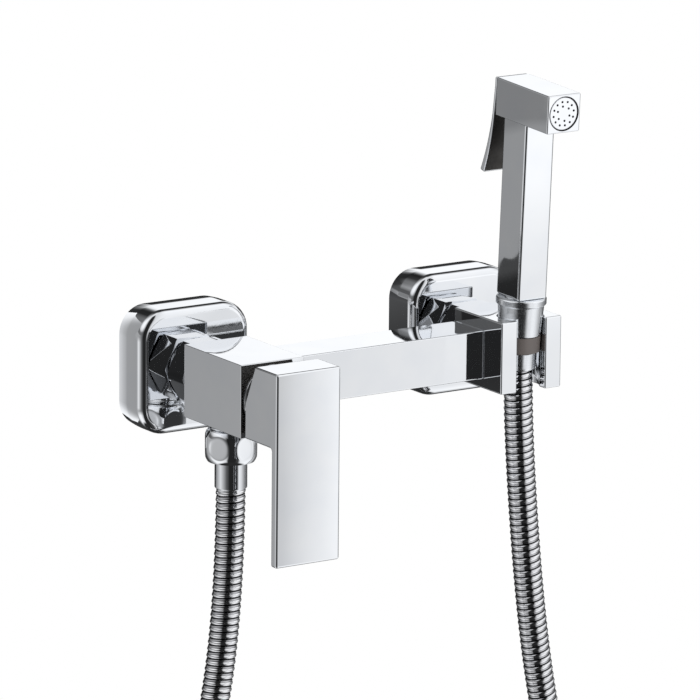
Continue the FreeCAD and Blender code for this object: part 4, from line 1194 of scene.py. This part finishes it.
# %% Rings of the tent
ahead_into_dark = [(-180, 215), (-173, 170), (-168, 35)]
light_front = [(158, 235), (180, 215)]
tent_rings = {
    -64: [(-180, 40), (180, 40)],
    -55: [(-180, 60), (-173, 35), (-130, 35), (-118, 220), (-90, 250), (-50, 240), (-25, 120), (-5, 50),
          (40, 45), (62, 90), (85, 230), (120, 250), (155, 235), (168, 60), (180, 60)],
    -36: [(-180, 60), (-173, 35), (-135, 35), (-120, 190), (-90, 250), (-55, 240), (-32, 170), (-8, 60),
          (30, 45), (60, 90), (85, 210), (120, 250), (155, 235), (168, 60), (180, 60)],
    -22: [(-180, 215), (-177, 170), (-173, 35), (-138, 35), (-118, 100), (-95, 140), (-70, 165), (-33, 160),
          (-15, 70), (5, 55), (30, 55), (60, 80), (100, 160), (130, 225), (147, 240)] + light_front,
    -13: [(-180, 45), (-176, 85), (-170, 85), (-165, 35), (-138, 35), (-116, 90), (-95, 170), (-80, 210),
          (-70, 230), (-53, 195), (-42, 170), (-33, 152), (-25, 145), (-18, 90), (-8, 50), (30, 50),
          (60, 70), (93, 115), (106, 140), (117, 170), (127, 195), (138, 220), (147, 230), (155, 210),
          (161, 190), (169, 100), (176, 40), (180, 45)],
    2: ahead_into_dark + [(-130, 30), (-114, 95), (-95, 130), (-70, 155), (-35, 160), (-15, 60), (20, 45),
                          (33, 45), (60, 80), (80, 150), (100, 215), (130, 240), (147, 235)] + light_front,
    7: ahead_into_dark + [(-130, 30), (-114, 95), (-95, 130), (-70, 160), (-35, 165), (-10, 80), (15, 45),
                          (45, 45), (70, 60), (88, 110), (104, 235), (130, 248), (147, 238)] + light_front,
    10: ahead_into_dark + [(-130, 30), (-114, 90), (-95, 105), (-60, 110), (-44, 90), (-22, 80), (-10, 50),
                           (15, 45), (26, 60), (30, 235), (33, 250), (44, 240), (54, 60), (78, 60),
                           (104, 245), (130, 252), (147, 240)] + light_front,
    17: ahead_into_dark + [(-130, 30), (-114, 95), (-95, 115), (-60, 115), (-44, 90), (-22, 75), (-18, 50),
                           (5, 45), (22, 50), (28, 250), (40, 250), (46, 240), (56, 60), (78, 60),
                           (104, 245), (147, 240)] + light_front,
    24: ahead_into_dark + [(-130, 30), (-115, 150), (-95, 210), (-60, 215), (-28, 150), (-20, 60), (-8, 40),
                           (9, 45), (16, 120), (22, 235), (27, 250), (60, 235), (80, 235), (100, 250),
                           (130, 252), (147, 240)] + light_front,
    34: ahead_into_dark + [(-130, 35), (-115, 200), (-90, 250), (-55, 240), (-25, 150), (-10, 90), (-3, 38),
                           (12, 32), (20, 70), (28, 45), (42, 40), (58, 60), (75, 150), (100, 235),
                           (140, 245)] + light_front,
    46: ahead_into_dark + [(-130, 40), (-115, 200), (-90, 255), (-50, 240), (-20, 120), (10, 45), (48, 38),
                           (66, 60), (82, 190), (100, 240), (125, 250), (150, 235), (180, 215)],
    58: ahead_into_dark + [(-130, 40), (-112, 200), (-85, 255), (-45, 200), (0, 70), (45, 45), (62, 60),
                           (80, 200), (99, 255), (140, 240), (165, 225), (180, 215)],
    74: ahead_into_dark + [(-130, 40), (-112, 200), (-85, 225), (-45, 200), (0, 70), (45, 45), (62, 60),
                           (80, 200), (99, 225), (180, 215)],
    82: [(-180, 225), (180, 225)],
}
print("tent: %d rings, %d stops" % (len(tent_rings), sum(len(stops) for stops in tent_rings.values())))

# %% [markdown]
# A picture of a studio on the world would do the same, but a part that travels can't carry one. So the
# wall works out its colour: the place on the sphere gives a heading and a rise, each ring's ramp gives
# a grey for the heading, and the rise mixes the ring below with the ring above.

# %% Tent wall
tent_radius = 20


def wall_colour(tree, rings):
    """Colour socket that mixes the rings by heading and rise."""
    place = tree.nodes.new("ShaderNodeTexCoord")
    outward_way = tree.nodes.new("ShaderNodeVectorMath")
    outward_way.operation = "NORMALIZE"
    tree.links.new(place.outputs["Object"], outward_way.inputs[0])
    direction = tree.nodes.new("ShaderNodeSeparateXYZ")
    tree.links.new(outward_way.outputs["Vector"], direction.inputs[0])
    turn = math_node(tree, "ARCTAN2", direction.outputs["X"], direction.outputs["Y"])
    around = math_node(tree, "ADD", math_node(tree, "DIVIDE", turn, 2 * math.pi), 0.5)
    rise = math_node(tree, "DEGREES", math_node(tree, "ARCSINE", direction.outputs["Z"]))
    colour, below = None, None
    for height, stops in rings.items():
        ring = grey_ramp(tree, around, [((heading + 180) / 360, level) for heading, level in stops])
        if colour:
            share = tree.nodes.new("ShaderNodeMapRange")
            share.inputs["From Min"].default_value, share.inputs["From Max"].default_value = below, height
            tree.links.new(rise, share.inputs["Value"])
            mix = tree.nodes.new("ShaderNodeMix")
            mix.data_type = "RGBA"
            tree.links.new(share.outputs["Result"], mix.inputs["Factor"])
            tree.links.new(colour, mix.inputs[6])
            tree.links.new(ring, mix.inputs[7])
            ring = mix.outputs[2]
        colour, below = ring, height
    return colour


tent_finish, tree, glow = glowing("tent wall")
tree.links.new(wall_colour(tree, tent_rings), glow.inputs["Color"])
work = bmesh.new()
bmesh.ops.create_icosphere(work, subdivisions=4, radius=tent_radius)
tent_mesh = bpy.data.meshes.new("tent")
work.to_mesh(tent_mesh)
work.free()
tent_mesh.materials.append(tent_finish)
seen_by_mirrors_only(in_scene("tent", tent_mesh))

# %% [markdown]
# ## Cards
# Cards hang inside the tent, nearer to the metal. The tent's wall could carry their greys, but a flat
# mirror sees almost one spot of a wall so far away. Two light cards stand in front on the right: they
# give the lever plate its slow gradient and the hand spray its bright top. A card is a flat block whose
# grey is graded along X or Z.

# %% Light cards in front
def graded_card(name, outline, y, axis, low, high, stops):
    """Upright card in the plane y from (x, z) corners, its grey graded along X or Z from low to high."""
    material, tree, glow = glowing(name)
    place = tree.nodes.new("ShaderNodeTexCoord")
    split = tree.nodes.new("ShaderNodeSeparateXYZ")
    tree.links.new(place.outputs["Object"], split.inputs[0])
    reach = tree.nodes.new("ShaderNodeMapRange")
    reach.inputs["From Min"].default_value, reach.inputs["From Max"].default_value = low * mm, high * mm
    tree.links.new(split.outputs[axis], reach.inputs["Value"])
    stops = [((place_mm - low) / (high - low), level) for place_mm, level in stops]
    tree.links.new(grey_ramp(tree, reach.outputs["Result"], stops), glow.inputs["Color"])
    seen_by_mirrors_only(skin(name, [[(x, d, z) for x, z in outline] for d in (y, y + 2)], material))


graded_card("front_card", [(60, -165), (262, -165), (262, 60), (60, 60)], -400, "X", 60, 262,
            [(60, 190), (87, 200), (96, 216), (105, 226), (115, 234), (125, 244), (145, 230), (170, 221),
             (210, 225), (262, 229)])
graded_card("spray_card", [(262, -165), (380, -165), (380, 60), (262, 60)], -400, "Z", -165, 60,
            [(-165, 230), (-90, 232), (-60, 240), (-30, 251), (60, 254)])

# %% [markdown]
# Two cards behind the wall plane brighten the back edge of the left cover plate and grade the left side
# of the hand spray. They could be one card, but each edge mirrors its own small part of the room.

# %% Cards behind the wall plane
graded_card("edge_card", [(-132, -50), (-100, -50), (-100, 46), (-132, 46)], 25, "X", -132, -100,
            [(-132, 150), (-124, 153), (-121, 160), (-117, 180), (-113, 205), (-108, 235), (-100, 252)])
graded_card("side_card", [(-188, -60), (-125, -60), (-125, 80), (-188, 80)], 256, "Z", -60, 80,
            [(-60, 143), (27, 143), (33, 124), (80, 124)])

# %% [markdown]
# Dark cards draw the lines that make chrome read as chrome. One has a wavy top edge, which shows as the
# dark foot of the spray's left side. One darkens the side of the right cover plate, one draws the band
# across the front of the left cover plate, and a long one keeps the band down the hose dark. Dark
# stops on the tent could do it, but they would darken every face that looks the same way.

# %% Dark cards
graded_card("foot_card", [(-188, -125), (-130, -125), (-130, -55), (-142, -52), (-144, -42), (-146, -40),
                          (-149.5, -38.5), (-155, -40), (-160, -40.5), (-163.5, -40), (-167, -38),
                          (-168.5, -35), (-169.5, -31), (-188, -31)],
            250, "Z", -125, -31, [(-125, 50), (-75, 30), (-52, 38), (-46, 65), (-31, 65)])
graded_card("plate_card", [(8, -42), (47, -42), (47, 20), (36, 21), (8, 17)], 30, "Z", -42, 21,
            [(-42, 50), (-20, 45), (10, 75), (21, 60)])
graded_card("band_card", [(151, 102.5), (250, 102.5), (250, 125), (175, 125), (168, 110)], -400, "Z",
            102, 125, [(102, 30), (104.3, 30), (105.2, 100), (125, 105)])
graded_card("hose_card", [(-285, -560), (-165, -560), (-165, 300), (-285, 300)], -340, "Z", -560, 300,
            [(-560, 35), (300, 35)])

# %% [markdown]
# ## Floor
# A plain pale floor lies under the hose's loop and takes its soft shadow. A single plane would do. The
# skin that makes the pieces makes a thin slab, which also has an underside. Mirrors don't see it,
# because its near edge would draw a bright strip into every rib of the hose.

# %% Floor
floor_half_width, floor_front, floor_back, floor_foot, floor_top = 380, -420, 340, -560, -550
floor_finish = finish("pale floor", (0.86, 0.86, 0.86), (0.84, 0.84, 0.84), (0.7, 0.8), metallic=0.0,
                      blotch=3.0)
corners = [(-floor_half_width, floor_front), (floor_half_width, floor_front), (floor_half_width, floor_back),
           (-floor_half_width, floor_back)]
floor = skin("floor", [[(x, y, z) for x, y in corners] for z in (floor_foot, floor_top)], floor_finish)
floor.visible_glossy = False
print("floor at %d mm" % floor_top)

# %% [markdown]
# ## Lamps
# Two soft square lamps, a key from the right and a weaker fill from the left, light what isn't mirror:
# the dark ring, the rubber and the floor. A sun would do it too, but with hard shadows. The lamps would
# show as squares in the chrome, so mirrors don't see them. The view transform is Standard, so the grey
# written on a card is the grey in the picture.

# %% Lamps
lamp_target = Vector((0, -0.05, 0))


def lamp(name, place, size, power):
    """Soft square lamp that looks at the object."""
    light = bpy.data.lights.new(name, "AREA")
    light.size, light.energy = size, power
    thing = in_scene(name, light)
    thing.location = place
    thing.rotation_euler = (lamp_target - Vector(place)).to_track_quat("-Z", "Y").to_euler()
    thing.visible_glossy = False
    print("%s: %.1f m wide, %d W" % (name, size, power))


lamp("key lamp", (1.2, -1.6, 1.4), 1.0, 18)
lamp("fill lamp", (-1.5, -1.0, 0.8), 1.2, 8)
bpy.context.scene.view_settings.view_transform = "Standard"
